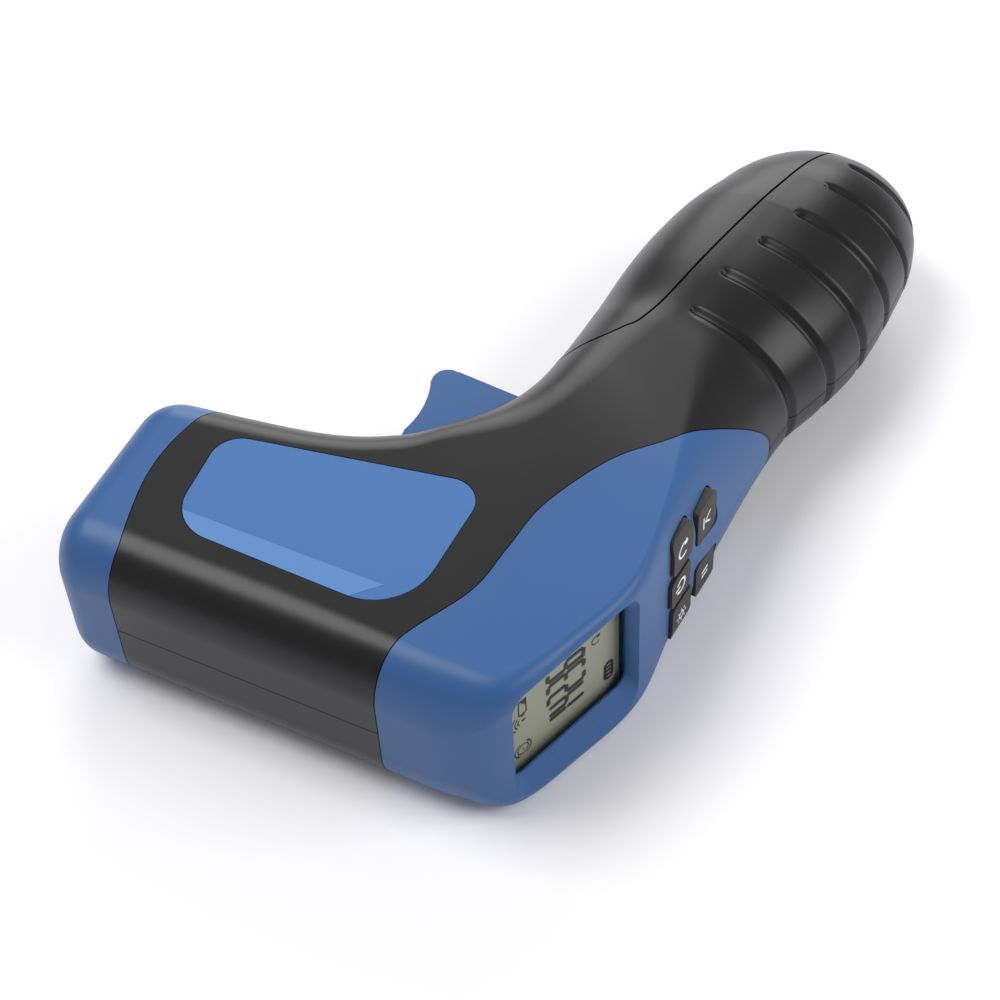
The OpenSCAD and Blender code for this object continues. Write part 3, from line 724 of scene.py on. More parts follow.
    def inner(self, inset: float) -> bpy.types.Object:
        """Makes the plain solid that lies inside the wall, without grooves."""
        plain = replace(self, groove_depth=0.0)
        last = len(self.stations()) - 1
        rows = [plain.body_row(place) for place in np.linspace(0.1, last - 0.01, 60)]
        rows += [plain.dome_row(share) for share in (0.1, 0.25, 0.4, 0.55, 0.68, 0.78, 0.85)]
        return plain.solid("inner_form", rows, inset, 8)


@dataclass(frozen=True)
class Seams:
    """The lines along which the body is cut into its mouldings, in the side view."""

    form: BodyForm
    far: float = 200.0
    bezel_seam: float = 27.0
    bezel_bow: float = 3.6
    bow_power: float = 1.2
    bow_margins: Point = (6, 4)
    past_body: Point = (10, 20)
    seam_step: float = 0.04
    knuckle: float = 2.2
    knuckle_cover: float = 0.4
    hinge_play: float = 0.3
    door_share: float = -0.19

    def region(self, name: str, outline: Iterable[Sequence[float]]) -> bpy.types.Object:
        """Makes a cutter that stands through the whole width."""
        return prism(name, np.array(list(outline)), -1, 2 * self.form.half + 1)

    def bezel(self, gap: float) -> bpy.types.Object:
        """Makes the region ahead of the bezel's seam, which bows forward on the flat sides."""
        low, high = self.form.top + self.bow_margins[0], self.form.under - self.bow_margins[1]
        start, stop = self.form.top - self.past_body[0], self.form.under + self.past_body[1]
        line = []
        for y in (start, *np.linspace(low, high, 61), stop):
            share = min(max((y - low) / (high - low), 0), 1)
            bow = self.bezel_bow * math.sin(math.pi * share) ** self.bow_power if 0 < share < 1 else 0
            line.append((gap - self.bezel_seam - bow, y))
        ends = [(-self.far, stop), (-self.far, start)]
        return self.region("bezel_region", line + ends)

    def along(self, points: np.ndarray, gap: float, side: int) -> list[np.ndarray]:
        """Gives fine points along a seam, moved to one side by a gap."""
        line = []
        reach = self.seam_step / 2
        for place in np.arange(reach, len(points) - 1 - reach, self.seam_step):
            run = curve(points, place + reach) - curve(points, place - reach)
            run /= np.linalg.norm(run)
            line.append(curve(points, place) + side * gap * np.array((-run[1], run[0])))
        return line

    def panel(self, gap: float) -> bpy.types.Object:
        """Makes the region behind the panel's seam, which sweeps down to a tongue on the grip's back."""
        rear, top = self.form.rear, self.form.top
        points = np.array([
            (rear - 36.2, top - 5), (rear - 34.5, top + 8), (rear - 28, top + 22), (rear - 26.4, top + 33),
            (rear - 24.8, top + 44), (rear - 18.5, top + 58), (rear - 10.8, top + 67.4),
            (rear - 4.4, top + 77), (rear + 3.6, top + 91)])
        ends = [(rear + self.far, top + 91), (rear + self.far, top - 5)]
        return self.region("panel_region", self.along(points, gap, 1) + ends)

    def door_tip(self) -> np.ndarray:
        """Gives the point on the dome where the door ends."""
        middle, reach, run = self.form.butt()
        return middle + math.sqrt(1 - self.door_share**2) * run + self.door_share * reach

    def door_axis(self) -> np.ndarray:
        """Gives the way in which the door's end points."""
        way = self.door_tip() - self.form.butt()[0]
        return way / np.linalg.norm(way)

    def hinge(self) -> np.ndarray:
        """Gives the place of the door's pin."""
        return self.door_tip() - (self.knuckle + self.knuckle_cover) * self.door_axis()

    def door(self, gap: float) -> bpy.types.Object:
        """Makes the region on the trigger side of the door's seam."""
        rear, under, groove = self.form.rear, self.form.under, self.form.groove_start
        tip, axis = self.door_tip(), self.door_axis()
        points = np.array([
            (0, under + 31), (19, under + 32), (rear - 35.5, under + 36.3), (rear - 30.5, under + 41.6),
            (rear - 27.3, groove + 0.8), (rear - 20.9, groove + 27.8), (rear - 15.9, groove + 48.9),
            self.hinge(), tip + 8 * axis])
        ends = [(-self.far, tip[1] + 12), (-self.far, under + 31)]
        return self.region("door_region", self.along(points, gap, -1) + ends)

    def hinge_bar(self, radius: float, low: float, high: float) -> bpy.types.Object:
        """Makes a round bar on the hinge's axis, between two heights from the middle plane."""
        half = self.form.half
        return prism("hinge_bar", circle(tuple(self.hinge()), radius), half + low, half + high)


@dataclass
class Artwork:
    """Flat shapes drawn in millimetres, right and up, then laid on a face of the tool."""

    frame: Matrix
    thickness: float = 0.03
    lift: float = 0.02
    point_share: float = 0.3
    shapes: list[bpy.types.Object] = field(default_factory=list)

    def started(self, name: str) -> bpy.types.Object:
        """Adds a square of one millimetre."""
        bpy.ops.object.select_all(action="DESELECT")
        bpy.ops.mesh.primitive_plane_add(size=1)
        shape = Bench.started(name)
        self.shapes.append(shape)
        return shape

    def bar(self, start: Point, end: Point, width: float, pointed: bool = False) -> None:
        """Draws a straight bar.

        Args:
            start: The middle of one end.
            end: The middle of the other end.
            width: Its width.
            pointed: True for ends cut to a point, as on a display's segment.
        """
        run = Vector(end) - Vector(start)
        shape = self.started("bar")
        with Bench.editing(shape):
            bpy.ops.transform.resize(value=(run.length, width, 1))
            if pointed:
                bpy.ops.mesh.bevel(offset=width * self.point_share, affect="VERTICES", segments=1)
        middle = (Vector(start) + Vector(end)) / 2
        turn = Matrix.Rotation(math.atan2(run.y, run.x), 4, "Z")
        shape.data.transform(Matrix.Translation((middle.x, middle.y, 0)) @ turn)

    def arc(self, middle: Point, radius: float, width: float, start: float, end: float) -> None:
        """Draws a ring, or an arc of one between two angles in degrees."""
        shape = self.started("arc")
        turn = math.radians(end - start)
        steps = max(6, int((end - start) / 10))
        with Bench.editing(shape):
            bpy.ops.mesh.merge(type="CENTER")
            bpy.ops.transform.translate(value=(radius - width / 2, 0, 0))
            bpy.ops.mesh.extrude_region_move(TRANSFORM_OT_translate={"value": (width, 0, 0)})
            bpy.ops.mesh.select_all(action="SELECT")
            bpy.ops.transform.rotate(value=-math.radians(end), orient_axis="Z", center_override=(0, 0, 0))
            bpy.ops.mesh.spin(steps=steps, angle=turn, center=(0, 0, 0), axis=(0, 0, 1))
            bpy.ops.mesh.select_all(action="SELECT")
            bpy.ops.mesh.remove_doubles(threshold=0.001)
            bpy.ops.mesh.normals_make_consistent(inside=False)
        shape.data.transform(Matrix.Translation((middle[0], middle[1], 0)))

    def block(self, middle: Point, size: Point, corner: float) -> None:
        """Draws a rectangle with round corners."""
        shape = self.started("block")
        with Bench.editing(shape):
            bpy.ops.transform.resize(value=(size[0], size[1], 1))
            bpy.ops.mesh.bevel(offset=corner, affect="VERTICES", segments=5)
        shape.data.transform(Matrix.Translation((middle[0], middle[1], 0)))

    def flat(self, name: str) -> bpy.types.Object:
        """Joins what was drawn into one thin sheet on its face."""
        piece = Bench.joined(self.shapes, name)
        self.shapes = []
        piece.data.transform(self.frame @ Matrix.Scale(MM, 4))
        return piece

    def laid(self, name: str) -> bpy.types.Object:
        """Joins what was drawn into one print of some thickness on its face."""
        piece = self.flat(name)
        Bench.modify(piece, "SOLIDIFY", thickness=self.thickness * MM, offset=1)
        return piece

    def wrapped(self, name: str, target: bpy.types.Object) -> bpy.types.Object:
        """Joins what was drawn and presses it along X onto a curved face."""
        piece = self.flat(name)
        with Bench.editing(piece):
            bpy.ops.mesh.subdivide(number_cuts=5)
        Bench.modify(
            piece, "SHRINKWRAP", target=target, wrap_method="PROJECT", use_project_x=True,
            use_negative_direction=True, use_positive_direction=False, wrap_mode="ABOVE_SURFACE",
            offset=self.lift * MM)
        Bench.modify(piece, "SOLIDIFY", thickness=self.thickness * MM, offset=1)
        return piece


@dataclass
class Tool:
    """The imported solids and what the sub-assemblies share."""

    frame: dict
    palette: Palette = field(default_factory=Palette)
    form: BodyForm = field(default_factory=BodyForm)

    def slot_of(self, node: str) -> str:
        """Gives the record's material slot of a node."""
        rows = self.frame["record"]["subparts"]
        return next(row["material_slot"] for row in rows if row["node"] == node)

    def body_of(self, node: str) -> str:
        """Gives the body that a node belongs to."""
        bodies = self.frame["record"]["behaviour"]["bodies"]
        return next(body for body, nodes in bodies.items() if node in nodes)

    def copied(self, node: str) -> bpy.types.Object:
        """Copies a solid into a piece of its own."""
        return Bench.copy_of(self.frame["nodes"][node], node + "_skin")

    def add(self, piece: bpy.types.Object, node: str, paint: Paint) -> None:
        """Gives a piece its finish and lets it ride with a node's body; the node's slot is looked up but not
        given to the piece.
        """
        self.palette.give(piece, paint)
        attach(piece, self.body_of(node))
        self.slot_of(node)
        LOG.info("made %s on %s", piece.name, node)

    def replace(self, piece: bpy.types.Object, node: str, paint: Paint) -> None:
        """Puts a finished piece in the place of a solid."""
        self.add(piece, node, paint)
        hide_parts(node)

    def skin(self, node: str, paint: Paint, degrees: float = 32) -> None:
        """Replaces a solid by a smooth copy of itself.

        Args:
            node: The solid's name.
            paint: Its finish.
            degrees: Edges sharper than this stay sharp.
        """
        piece = self.copied(node)
        Bench.smooth(piece, degrees)
        self.replace(piece, node, paint)


@dataclass(frozen=True)
class Face:
    """A face of the tool: a point on it in millimetres, and its turn about the vertical in degrees."""

    place: Place
    turn: float

    def frame_at(self, height: float) -> Matrix:
        """Gives the frame of artwork that lies along the face.

        Args:
            height: How far it lies out of the face, in millimetres.

        Returns:
            A matrix that takes right, up and out to the tool's frame, in metres.
        """
        axes = Matrix(((0, 0, 1, 0), (0, -1, 0, 0), (1, 0, 0, 0), (0, 0, 0, 1)))
        spin = Matrix.Rotation(math.radians(self.turn), 4, "Z")
        spot = Matrix.Translation(Vector(self.place) * MM)
        return spot @ spin @ axes @ Matrix.Translation((0, 0, height * MM))

    def block(self, name: str, rings: Sequence[tuple[float, float, float, float]],
              *middles: Point) -> bpy.types.Object:
        """Makes a block with round corners that stands out of the face.

        Args:
            name: The piece's name.
            rings: For each ring its height out of the face, its length, its width and its corner radius.
            middles: The middle of each ring along and across the face. The last one also serves the rings
                after it.

        Returns:
            The block.
        """
        turn = math.radians(self.turn)
        out = np.array((math.cos(turn), math.sin(turn), 0))
        down = np.array((-math.sin(turn), math.cos(turn), 0))
        across = np.array((0, 0, 1))
        loops = []
        for k, (height, tall, wide, radius) in enumerate(rings):
            middle = middles[min(k, len(middles) - 1)] if middles else (0, 0)
            spots = rounded_ring(tall, wide, radius) + np.array(middle)
            loops.append([np.array(self.place) + height * out + y * down + z * across for y, z in spots])
        return Bench.ringed(name, np.array(loops))


@dataclass(frozen=True)
class KeyPlan:
    """One key: its solid, its place along and across the keypad, and its width."""

    node: str
    along: float
    across: float
    wide: float
    tall: float = 7.4
    corner: float = 1.2


DISPLAY_FACE = Face((51.6, -3.2, 18.5), -18.4)
KEYPAD_FACE = Face((59.2, 26.4, 18.5), -3.0)
WINDOW_SIZE = (28.4, 26.4)
KEYS = (
    KeyPlan("key_power", 0.3, 0, 7.4),
    KeyPlan("key_upper_right", 1, 9.6, 9.2),
    KeyPlan("key_lower_right", 10.4, 7.7, 9),
    KeyPlan("key_upper_left", 1, -9.6, 9.2),
    KeyPlan("key_lower_left", 10.4, -7.7, 9),
)


@dataclass
class Mouldings:
    """The five outer mouldings and the trigger."""

    tool: Tool
    skin_depth: float = 1.5
    liner_depth: float = 1.0
    seam_gap: float = 0.2
    key_gap: float = 0.3
    trigger_slot: tuple[Point, ...] = (
        (-0.6, 24), (-0.6, 44), (12, 51.1), (26, 49.9), (26, 32), (14, 24))
    trigger_room: float = 7.4
    label_corners: tuple[Place, ...] = (
        (-13.5, -2.7, 8.3), (-16.8, 6.2, 5.6), (20.6, 13.4, 5.3), (14.6, -0.6, 11))
    label_recess: float = 0.45
    label_gap: float = 0.15
    screw_places: tuple[Point, ...] = ((-8, -13.5), (21, -13.5), (-8, 13.5), (53.5, 78.7))
    screw_room: float = 2.9
    screw_seat: float = 6.0
    hinge_slots: tuple[Point, ...] = ((-5.5, -2.4), (2.4, 5.5))
    bezel_wall: float = 4.8
    opening_margin: float = 2.0
    opening_corner: float = 9.0
    pocket_margin: float = 3.0
    chamfer: float = 1.0
    lip_depth: float = 1.6
    overlap: float = 0.1
    recess_slant: float = 2.8
    recess_corner: float = 2.5
    flare_start: float = 0.4
    flare_height: float = 5.6
    flare_growth: Point = (8, 16)
    flare_corner: float = 3.5
    rim_margins: Point = (7, 6)
    rim_corner: float = 4.0
    rim_span: Point = (-2.5, 12)
    key_span: Point = (-25, 10)
    seat_depth: float = 50.0
    seat_margin: float = 3.4
    seat_corner: float = 3.0
    trigger_edge: float = 0.7

    def __post_init__(self) -> None:
        """Takes the seams of the tool's form."""
        self.form = self.tool.form
        self.seams = Seams(self.form)

    def build(self) -> None:
        """Replaces each moulding by a finer one and rounds the trigger."""
        self.build_housing("right_housing", 1)
        self.build_housing("left_housing", -1)
        self.build_door()
        self.build_bezel()
        self.build_panel()
        self.build_trigger()

    def finished(self, shell: bpy.types.Object, node: str, paint: Paint) -> None:
        """Adds what the solid has inside its wall to a shell, shades it and puts it in the solid's place."""
        liner = self.tool.copied(node)
        Bench.carve(liner, self.form.inner(self.liner_depth), "INTERSECT")
        piece = Bench.joined([shell, liner], node + "_skin")
        Bench.smooth(piece, 30)
        self.tool.replace(piece, node, paint)

    def build_housing(self, node: str, side: int) -> None:
        """Builds one of the two housings, on the side that faces up or down."""
        half = self.form.half
        shell = self.form.outer()
        level = half + side * self.seam_gap / 2
        far = half + side * 2 * half
        around = box_outline(-60, 120, -60, 180)
        Bench.carve(shell, prism("half_room", around, min(level, far), max(level, far)), "INTERSECT")
        Bench.carve(shell, self.form.inner(self.skin_depth))
        Bench.carve(shell, self.seams.bezel(self.seam_gap))
        Bench.carve(shell, self.seams.panel(self.seam_gap))
        Bench.carve(shell, self.seams.door(self.seam_gap + self.seams.hinge_play / 2))
        slot = np.array(self.trigger_slot)
        Bench.carve(shell, prism("slot", slot, half - self.trigger_room, half + self.trigger_room))
        room = self.seams.knuckle + self.seams.knuckle_cover + 1.5 * self.seams.hinge_play
        Bench.carve(shell, self.seams.hinge_bar(room, -half - 1, half + 1))
        if side > 0:
            recess = 2 * half - self.label_recess
            Bench.carve(shell, prism("recess", self.label_outline(), recess, 2 * half + 1))
        else:
            for place in self.screw_places:
                Bench.carve(shell, prism("screw_room", circle(place, self.screw_room), -1, self.screw_seat))
        self.finished(shell, node, Paint.BLACK)

    def label_outline(self) -> np.ndarray:
        """Gives the outline round the label's four corners, widened by its gap."""
        points = []
        for turn in np.radians(np.arange(0, 360, 3)):
            way = np.array((math.cos(turn), math.sin(turn)))
            x, y, radius = max(self.label_corners, key=lambda c: c[0] * way[0] + c[1] * way[1] + c[2])
            points.append(np.array((x, y)) + (radius + self.label_gap) * way)
        return np.array(points)

    def build_door(self) -> None:
        """Builds the battery door, with a round end that turns in the housings' notch."""
        half = self.form.half
        seams = self.seams
        shell = self.form.outer()
        barrel = self.form.outer()
        Bench.carve(barrel, seams.hinge_bar(seams.knuckle + seams.knuckle_cover, -half, half), "INTERSECT")
        Bench.carve(shell, self.form.inner(self.skin_depth))
        Bench.carve(shell, seams.door(-seams.hinge_play / 2), "INTERSECT")
        Bench.carve(shell, barrel, "UNION")
        for low, high in self.hinge_slots:
            Bench.carve(shell, seams.hinge_bar(seams.knuckle + seams.hinge_play, low, high))
        self.finished(shell, "battery_door", Paint.BLACK)

    def build_bezel(self) -> None:
        """Builds the front bezel, with its opening, the opening's chamfer and the plate's pocket."""
        form = self.form
        height = form.under - form.top - form.muzzle_rise
        margin, corner, pocket = self.opening_margin, self.opening_corner, self.pocket_margin
        tall = height - 2 * form.muzzle_round + margin
        wide = 2 * (form.half - form.muzzle_round) + margin
        muzzle = Face((-form.front, (form.top + form.under - form.muzzle_rise) / 2, form.half), 0)
        shell = form.outer()
        Bench.carve(shell, self.seams.bezel(0), "INTERSECT")
        room = form.inner(self.skin_depth)
        behind = box_outline(self.bezel_wall - form.front, 120, -60, 60)
        Bench.carve(room, prism("room_start", behind, -1, 2 * form.half + 1), "INTERSECT")
        Bench.carve(shell, room)
        mouth = (tall, wide, corner)
        brim = (tall + margin, wide + margin, corner + 1)
        seat = (tall + pocket, wide + pocket, corner + 1)
        edge, lip, over = self.chamfer, self.lip_depth, self.overlap
        Bench.carve(shell, muzzle.block("chamfer", ((-over, *brim), (edge, *mouth))))
        Bench.carve(shell, muzzle.block("opening", ((edge - over, *mouth), (lip + over, *mouth))))
        Bench.carve(shell, muzzle.block("pocket", ((lip, *seat), (form.front, *seat))))
        self.finished(shell, "front_bezel", Paint.BLUE)

    def build_panel(self) -> None:
        """Builds the rear panel, with the display's recess and the holes of the keys."""
        tall, wide = WINDOW_SIZE
        shell = self.form.outer()
        Bench.carve(shell, self.seams.panel(0), "INTERSECT")
        room = self.form.inner(self.skin_depth)
        rim = (tall + self.rim_margins[0], wide + self.rim_margins[1], self.rim_corner)
        Bench.carve(room, DISPLAY_FACE.block("rim", [(height, *rim) for height in self.rim_span]))
        Bench.carve(shell, room)
        Bench.carve(shell, self.display_flare())
        seat = (tall + self.seat_margin, wide + self.seat_margin, self.seat_corner)
        Bench.carve(shell, DISPLAY_FACE.block("seat", ((-self.seat_depth, *seat), (0, *seat))))
        for key in KEYS:
            size = (key.tall + 2 * self.key_gap, key.wide + 2 * self.key_gap, key.corner + self.key_gap)
            rings = [(height, *size) for height in self.key_span]
            Bench.carve(shell, KEYPAD_FACE.block("key_hole", rings, (key.along, key.across)))
        self.finished(shell, "rear_panel", Paint.BLUE)

    def display_flare(self) -> bpy.types.Object:
        """Makes the room in front of the display, which flares out and has a slanted lower wall."""
        tall, wide = WINDOW_SIZE
        low = self.recess_slant
        sight = wide - low
        along, across = self.flare_growth
        rings = [(-self.overlap, tall, sight, self.recess_corner)]
        middles = [(0, low / 2)]
        for share in np.linspace(0, 1, 9):
            grown = flared(share)
            height = self.flare_start + self.flare_height * share
            corner = self.recess_corner + self.flare_corner * share
            rings.append((height, tall + along * grown, sight + (across + low) * grown, corner))
            middles.append((0, low / 2 * (1 - grown)))
        return DISPLAY_FACE.block("flare", rings, *middles)

    def build_trigger(self) -> None:
        """Rounds the trigger's edges."""
        piece = self.tool.copied("trigger")
        Bench.soften(piece, self.trigger_edge, 4, 60)
        Bench.smooth(piece, 40)
        self.tool.replace(piece, "trigger", Paint.BLUE)


class Digit(Enum):
    """The lit bars of a digit: top, upper left, upper right, middle, lower left, lower right, bottom."""

    ONE = "0010010"
    TWO = "1011101"
    THREE = "1011011"
    FOUR = "0111010"
    SIX = "1101111"


@dataclass
class Display:
    """The display behind its window."""

    tool: Tool
    glass_face: float = -1.6
    digit_size: Point = (2.15, 8.9)
    digit_pitch: float = 3.4
    digit_lean: float = 0.06
    digit_middle: Point = (-0.9, -1.3)
    bar_width: float = 1.05
    segment_gap: float = 0.1
    reading: tuple[Digit, ...] = (Digit.ONE, Digit.FOUR, Digit.TWO, Digit.THREE, Digit.SIX)
    battery_place: Point = (4.8, 9.4)
    waves_place: Point = (0.9, 9.6)
    dial_place: Point = (-7.7, 9.7)
    unit_place: Point = (5.6, -8.9)
    badge_place: Point = (-6.6, -12)
    badge_size: Point = (5.4, 2.5)
    badge_corner: float = 1.2
    badge_bars: int = 4
    badge_reach: float = 1.7
    badge_pitch: float = 1.13

    def build(self) -> None:
        """Dresses the window, the glass and its marks."""
        self.tool.skin("lcd_window", Paint.WINDOW)
        self.tool.skin("lcd_glass", Paint.DISPLAY)
        height = self.glass_face + Artwork.lift
        art = Artwork(DISPLAY_FACE.frame_at(height))
        self.draw_digits(art)
        self.draw_battery(art, self.battery_place)
        self.draw_waves(art, self.waves_place)
        self.draw_dial(art, self.dial_place)
        self.draw_unit(art, self.unit_place)
        art.block(self.badge_place, self.badge_size, self.badge_corner)
        self.tool.add(art.laid("display_marks"), "lcd_glass", Paint.SEGMENT)
        fields = Artwork(DISPLAY_FACE.frame_at(height + art.thickness), 0.02)
        self.draw_badge_bars(fields, self.badge_place)
        self.tool.add(fields.laid("display_badge_bars"), "lcd_glass", Paint.GHOST)

    def draw_badge_bars(self, art: Artwork, middle: Point) -> None:
        """Draws pale bars across the badge."""
        x, y = middle
        for k in range(self.badge_bars):
            across = x - self.badge_reach + self.badge_pitch * k
            art.bar((across, y + 0.5), (across, y - 0.5), 0.3)

    def draw_digits(self, art: Artwork) -> None:
        """Draws the reading and its decimal point."""
        wide, tall = self.digit_size
        across, up = self.digit_middle
        first = across - self.digit_pitch * (len(self.reading) - 1) / 2
        for k, digit in enumerate(self.reading):
            left = first + k * self.digit_pitch - wide / 2
            spots = [(left + wide * x, tall * y + up) for y in (0.5, 0, -0.5) for x in (0, 1)]
            spots = [(x + self.digit_lean * (y - up), y) for x, y in spots]
            bars = ((0, 1), (0, 2), (1, 3), (2, 3), (2, 4), (3, 5), (4, 5))
            for lit, (a, b) in zip(digit.value, bars):
                if lit == "1":
                    self.draw_segment(art, spots[a], spots[b])
        art.block((first + 3.5 * self.digit_pitch, up - tall / 2), (0.7, 0.8), 0.1)

    def draw_segment(self, art: Artwork, start: Point, end: Point) -> None:
        """Draws one bar of a digit, a little short of its ends."""
        run = (Vector(end) - Vector(start)).normalized() * self.segment_gap
        art.bar(Vector(start) + run, Vector(end) - run, self.bar_width, True)

    def draw_battery(self, art: Artwork, middle: Point) -> None:
        """Draws a battery's outline with a wedge of charge."""
        x, y = middle
        corners = [(x - 2, y - 0.9), (x + 2, y - 0.9), (x + 2, y + 0.9), (x - 2, y + 0.9)]
        for a, b in zip(corners, corners[1:] + corners[:1]):
            art.bar(a, b, 0.3)
        art.block((x - 2.35, y), (0.5, 0.9), 0.1)
        for k in range(4):
            art.bar((x + 0.5 + 0.35 * k, y - 0.75), (x + 0.5 + 0.35 * k, y - 0.5 + 0.3 * k), 0.32)

    def draw_waves(self, art: Artwork, middle: Point) -> None:
        """Draws a beam's waves."""
        x, y = middle
        for k in range(3):
            art.arc((x, y), 1.0 + 0.75 * k, 0.34, 40, 140)
        art.block((x, y - 0.3), (0.6, 0.9), 0.2)

    def draw_dial(self, art: Artwork, middle: Point) -> None:
        """Draws a turning disc with two arrows round it."""
        x, y = middle
        art.arc(middle, 1.3, 0.3, 0, 360)
        art.arc(middle, 2.0, 0.3, 20, 150)
        art.arc(middle, 2.0, 0.3, 200, 330)
        art.block((x, y), (0.35, 0.35), 0.1)
        for side in (-1, 1):
            tip = (x - side * 2.0 * math.cos(math.radians(30)), y + side * 1.0)
            art.bar(tip, (tip[0] + side * 0.75, tip[1] + side * 0.35), 0.3)

    def draw_unit(self, art: Artwork, middle: Point) -> None:
        """Draws a turn arrow that stands for the unit."""
        x, y = middle
        art.arc(middle, 1.0, 0.36, -60, 230)
        art.bar((x + 0.5, y - 0.9), (x + 1.25, y - 0.75), 0.34)
        art.bar((x + 0.5, y - 0.9), (x + 0.6, y - 0.1), 0.34)


@dataclass
class Keypad:
    """The five keys, their print and the mat under them."""

    tool: Tool
    crown: float = 0.45
    sign_start: float = 4.0
    sign_depth: float = 0.02

    def build(self) -> None:
        """Dresses the keys and prints a plain sign on each."""
        self.tool.skin("key_mat", Paint.MAT)
        signs = (self.draw_power, self.draw_loop, self.draw_peak, self.draw_lamp, self.draw_hold)
        for key, draw in zip(KEYS, signs):
            cap = self.tool.copied(key.node)
            Bench.soften(cap, self.crown, 3, 50)
            Bench.smooth(cap, 40)
            self.tool.replace(cap, key.node, Paint.KEY)
            self.print_on(cap, key, draw)

    def print_on(self, cap: bpy.types.Object, key: KeyPlan, draw: Callable[[Artwork, Point], None]) -> None:
        """Lays a sign on a key's curved top."""
        art = Artwork(KEYPAD_FACE.frame_at(self.sign_start), self.sign_depth)
        draw(art, (key.across, -key.along))
        self.tool.add(art.wrapped(key.node + "_sign", cap), key.node, Paint.WHITE)

    def draw_power(self, art: Artwork, middle: Point) -> None:
        """Draws a power sign."""
        x, y = middle
        art.arc(middle, 1.6, 0.55, 125, 415)
        art.bar((x, y + 0.3), (x, y + 2.0), 0.55)

    def draw_loop(self, art: Artwork, middle: Point) -> None:
        """Draws a turn arrow."""
        x, y = middle
        art.arc(middle, 1.7, 0.5, -50, 220)
        art.bar((x + 1.0, y - 1.4), (x + 2.0, y - 1.05), 0.5)
        art.bar((x + 1.0, y - 1.4), (x + 1.2, y - 0.35), 0.5)

    def draw_peak(self, art: Artwork, middle: Point) -> None:
        """Draws a peak under a bar."""
        x, y = middle
        art.bar((x - 1.6, y + 1.3), (x + 1.6, y + 1.3), 0.42)
        art.bar((x - 1.5, y - 1.3), (x, y + 0.7), 0.42)
        art.bar((x, y + 0.7), (x + 1.5, y - 1.3), 0.42)

    def draw_lamp(self, art: Artwork, middle: Point) -> None:
        """Draws a lamp with its rays."""
        x, y = middle
        art.arc(middle, 0.8, 0.38, 0, 360)
        for k in range(8):
            turn = math.radians(45 * k)
            art.bar((x + 1.3 * math.cos(turn), y + 1.3 * math.sin(turn)),
                    (x + 1.8 * math.cos(turn), y + 1.8 * math.sin(turn)), 0.34)

    def draw_hold(self, art: Artwork, middle: Point) -> None:
        """Draws two upright bars."""
        x, y = middle
        for side in (-1, 1):
            art.bar((x + side * 0.65, y - 1.2), (x + side * 0.65, y + 1.2), 0.55)


@dataclass
class SideLabel:
    """The blue film on the right side, with a lighter band printed along its edge."""

    tool: Tool
    band_edge: tuple[Point, Point] = ((-26, -7.1), (19.4, -7.1))
    band_end: tuple[Point, Point] = ((19.4, -7.1), (16, -11))
    band_depth: float = 0.04

    def build(self) -> None:
        """Dresses the film and lays the band on it."""
        self.tool.skin("side_label", Paint.LABEL, 40)
        band = self.tool.copied("side_label")
        band.name = "side_label_band"
        with Bench.editing(band):
            for (x0, y0), (x1, y1) in (self.band_edge, self.band_end):
                spot = (x0 * MM, y0 * MM, 0)
                bpy.ops.mesh.select_all(action="SELECT")
                bpy.ops.mesh.bisect(
                    plane_co=spot, plane_no=(y0 - y1, x1 - x0, 0), use_fill=True, clear_outer=True)
        band.data.transform(Matrix.Translation((0, 0, self.band_depth * MM)))
        Bench.smooth(band, 40)
        self.tool.add(band, "side_label", Paint.BAND)


@dataclass
class Insides:
    """What the housings hold: optics, boards, power and fasteners."""

    tool: Tool
    finishes: dict[str, Paint] = field(default_factory=lambda: {
        "front_plate": Paint.INNER,
        "optics_holder": Paint.INNER,
        "battery_snap": Paint.INNER,
        "trigger_switch": Paint.INNER,
        "receiver_lens": Paint.LENS,
        "laser_module": Paint.BRASS,
        "photo_sensor": Paint.STEEL,
        "display_board": Paint.BOARD,
        "main_board": Paint.BOARD,
        "board_screws": Paint.STEEL,
        "housing_screws": Paint.STEEL,
        "door_pin": Paint.STEEL,
        "trigger_pin": Paint.STEEL,
        "trigger_spring": Paint.STEEL,
        "battery": Paint.JACKET,
    })

    def build(self) -> None:
        """Gives each piece its finish."""
        for node, paint in self.finishes.items():
            self.tool.skin(node, paint, 35)


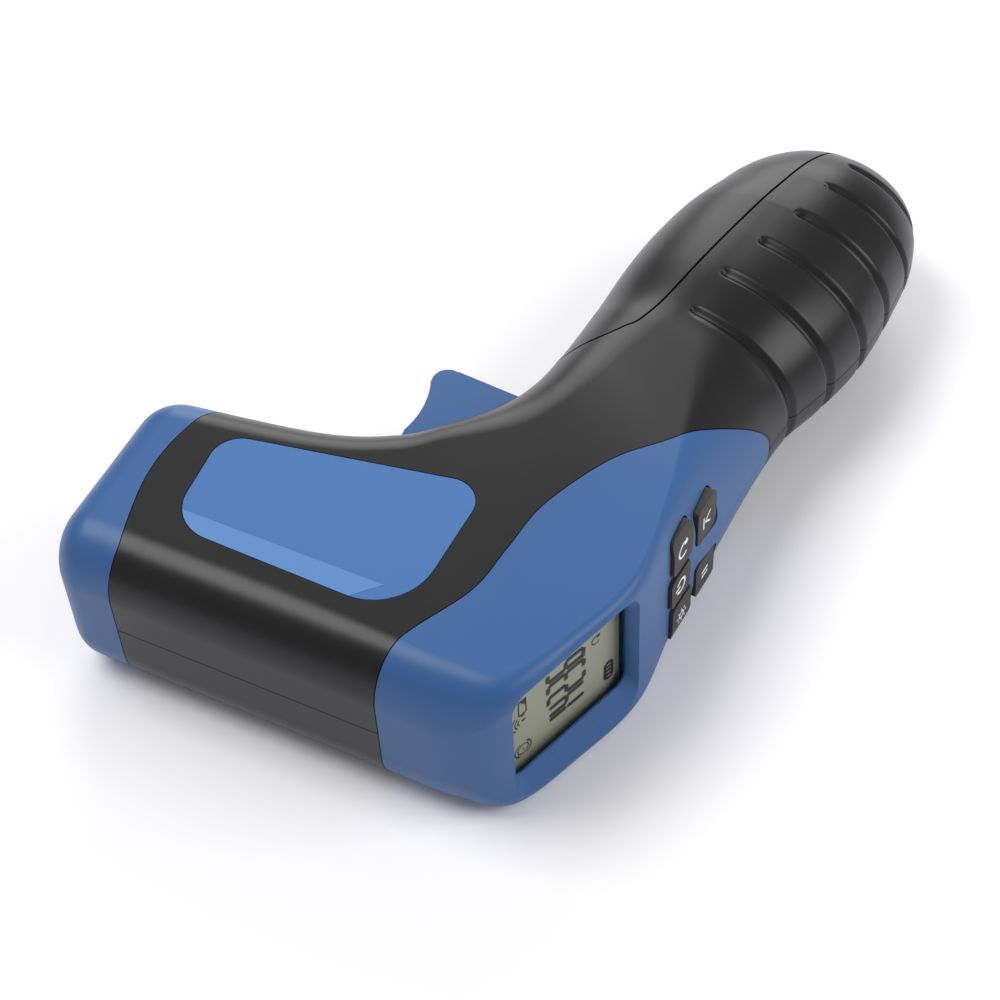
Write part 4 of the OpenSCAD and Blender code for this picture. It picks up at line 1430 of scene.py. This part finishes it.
@dataclass
class Studio:
    """Floor, light and camera."""

    target: Place = (21.977, 30.729, 18.5)
    azimuth: float = 28.845
    elevation: float = 51.0
    roll: float = -3.5
    distance: float = 430.0
    focal_pixels: float = 2335.0
    image_pixels: float = 1000.0
    sensor: float = 36.0
    floor_colour: Colour = (0.93, 0.92, 0.95)
    room_colour: Colour = (1, 0.99, 1)
    room_light: float = 0.34

    def build(self) -> None:
        """Makes the floor, the lights and the camera."""
        self.lay_floor()
        self.set_lights()
        self.set_camera()

    def lay_floor(self) -> None:
        """Lays a pale floor under the tool."""
        bpy.ops.object.select_all(action="DESELECT")
        bpy.ops.mesh.primitive_plane_add(size=6, location=(0, 0, 0))
        floor = Bench.started("floor")
        graph = Graph("pale_floor")
        floor.data.materials.append(graph.finish(Base_Color=self.floor_colour, Roughness=0.75))

    def set_lights(self) -> None:
        """Sets soft lights round the tool and a bright room."""
        scene = bpy.context.scene
        scene.view_settings.view_transform = "Standard"
        world = bpy.data.worlds.new("room")
        world.use_nodes = True
        background = world.node_tree.nodes["Background"]
        background.inputs["Color"].default_value = (*self.room_colour, 1)
        background.inputs["Strength"].default_value = self.room_light
        scene.world = world
        self.add_light("top_light", (-0.42, -0.1, 0.9), 0.55, 6.2)
        self.add_light("back_light", (-0.36, 1.0, 0.5), 0.75, 6.2)
        self.add_light("side_light", (0.95, 0.25, 0.7), 0.7, 7)

    def add_light(self, name: str, place: Place, size: float, power: float) -> None:
        """Adds a square light that faces the tool.

        Args:
            name: Its name.
            place: Its place, in metres.
            size: Its side, in metres.
            power: Its power, in watts.
        """
        middle = Vector(self.target) * MM
        data = bpy.data.lights.new(name, "AREA")
        data.size = size
        data.energy = power
        light = bpy.data.objects.new(name, data)
        bpy.context.scene.collection.objects.link(light)
        light.location = place
        light.rotation_euler = (middle - Vector(place)).to_track_quat("-Z", "Y").to_euler()

    def set_camera(self) -> None:
        """Sets the camera at the photograph's angle."""
        turn = math.radians(self.azimuth)
        rise = math.radians(self.elevation)
        tip = math.radians(self.roll)
        back = Vector((math.sin(turn) * math.cos(rise), -math.cos(turn) * math.cos(rise), math.sin(rise)))
        level = Vector((math.cos(turn), math.sin(turn), 0))
        upright = back.cross(level)
        right = math.cos(tip) * level + math.sin(tip) * upright
        up = back.cross(right)
        data = bpy.data.cameras.new("camera")
        data.sensor_width = self.sensor
        data.lens = self.focal_pixels / self.image_pixels * self.sensor
        camera = bpy.data.objects.new("camera", data)
        bpy.context.scene.collection.objects.link(camera)
        spot = (Vector(self.target) + back * self.distance) * MM
        axes = Matrix((right, up, back)).transposed().to_4x4()
        camera.matrix_world = Matrix.Translation(spot) @ axes
        bpy.context.scene.camera = camera


def main() -> None:
    """Builds the scene."""
    logging.basicConfig(level=logging.INFO)
    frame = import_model()
    tool = Tool(frame)
    Studio().build()
    for part in (Mouldings(tool), Display(tool), Keypad(tool), SideLabel(tool), Insides(tool)):
        part.build()


if __name__ == "__main__":
    main()
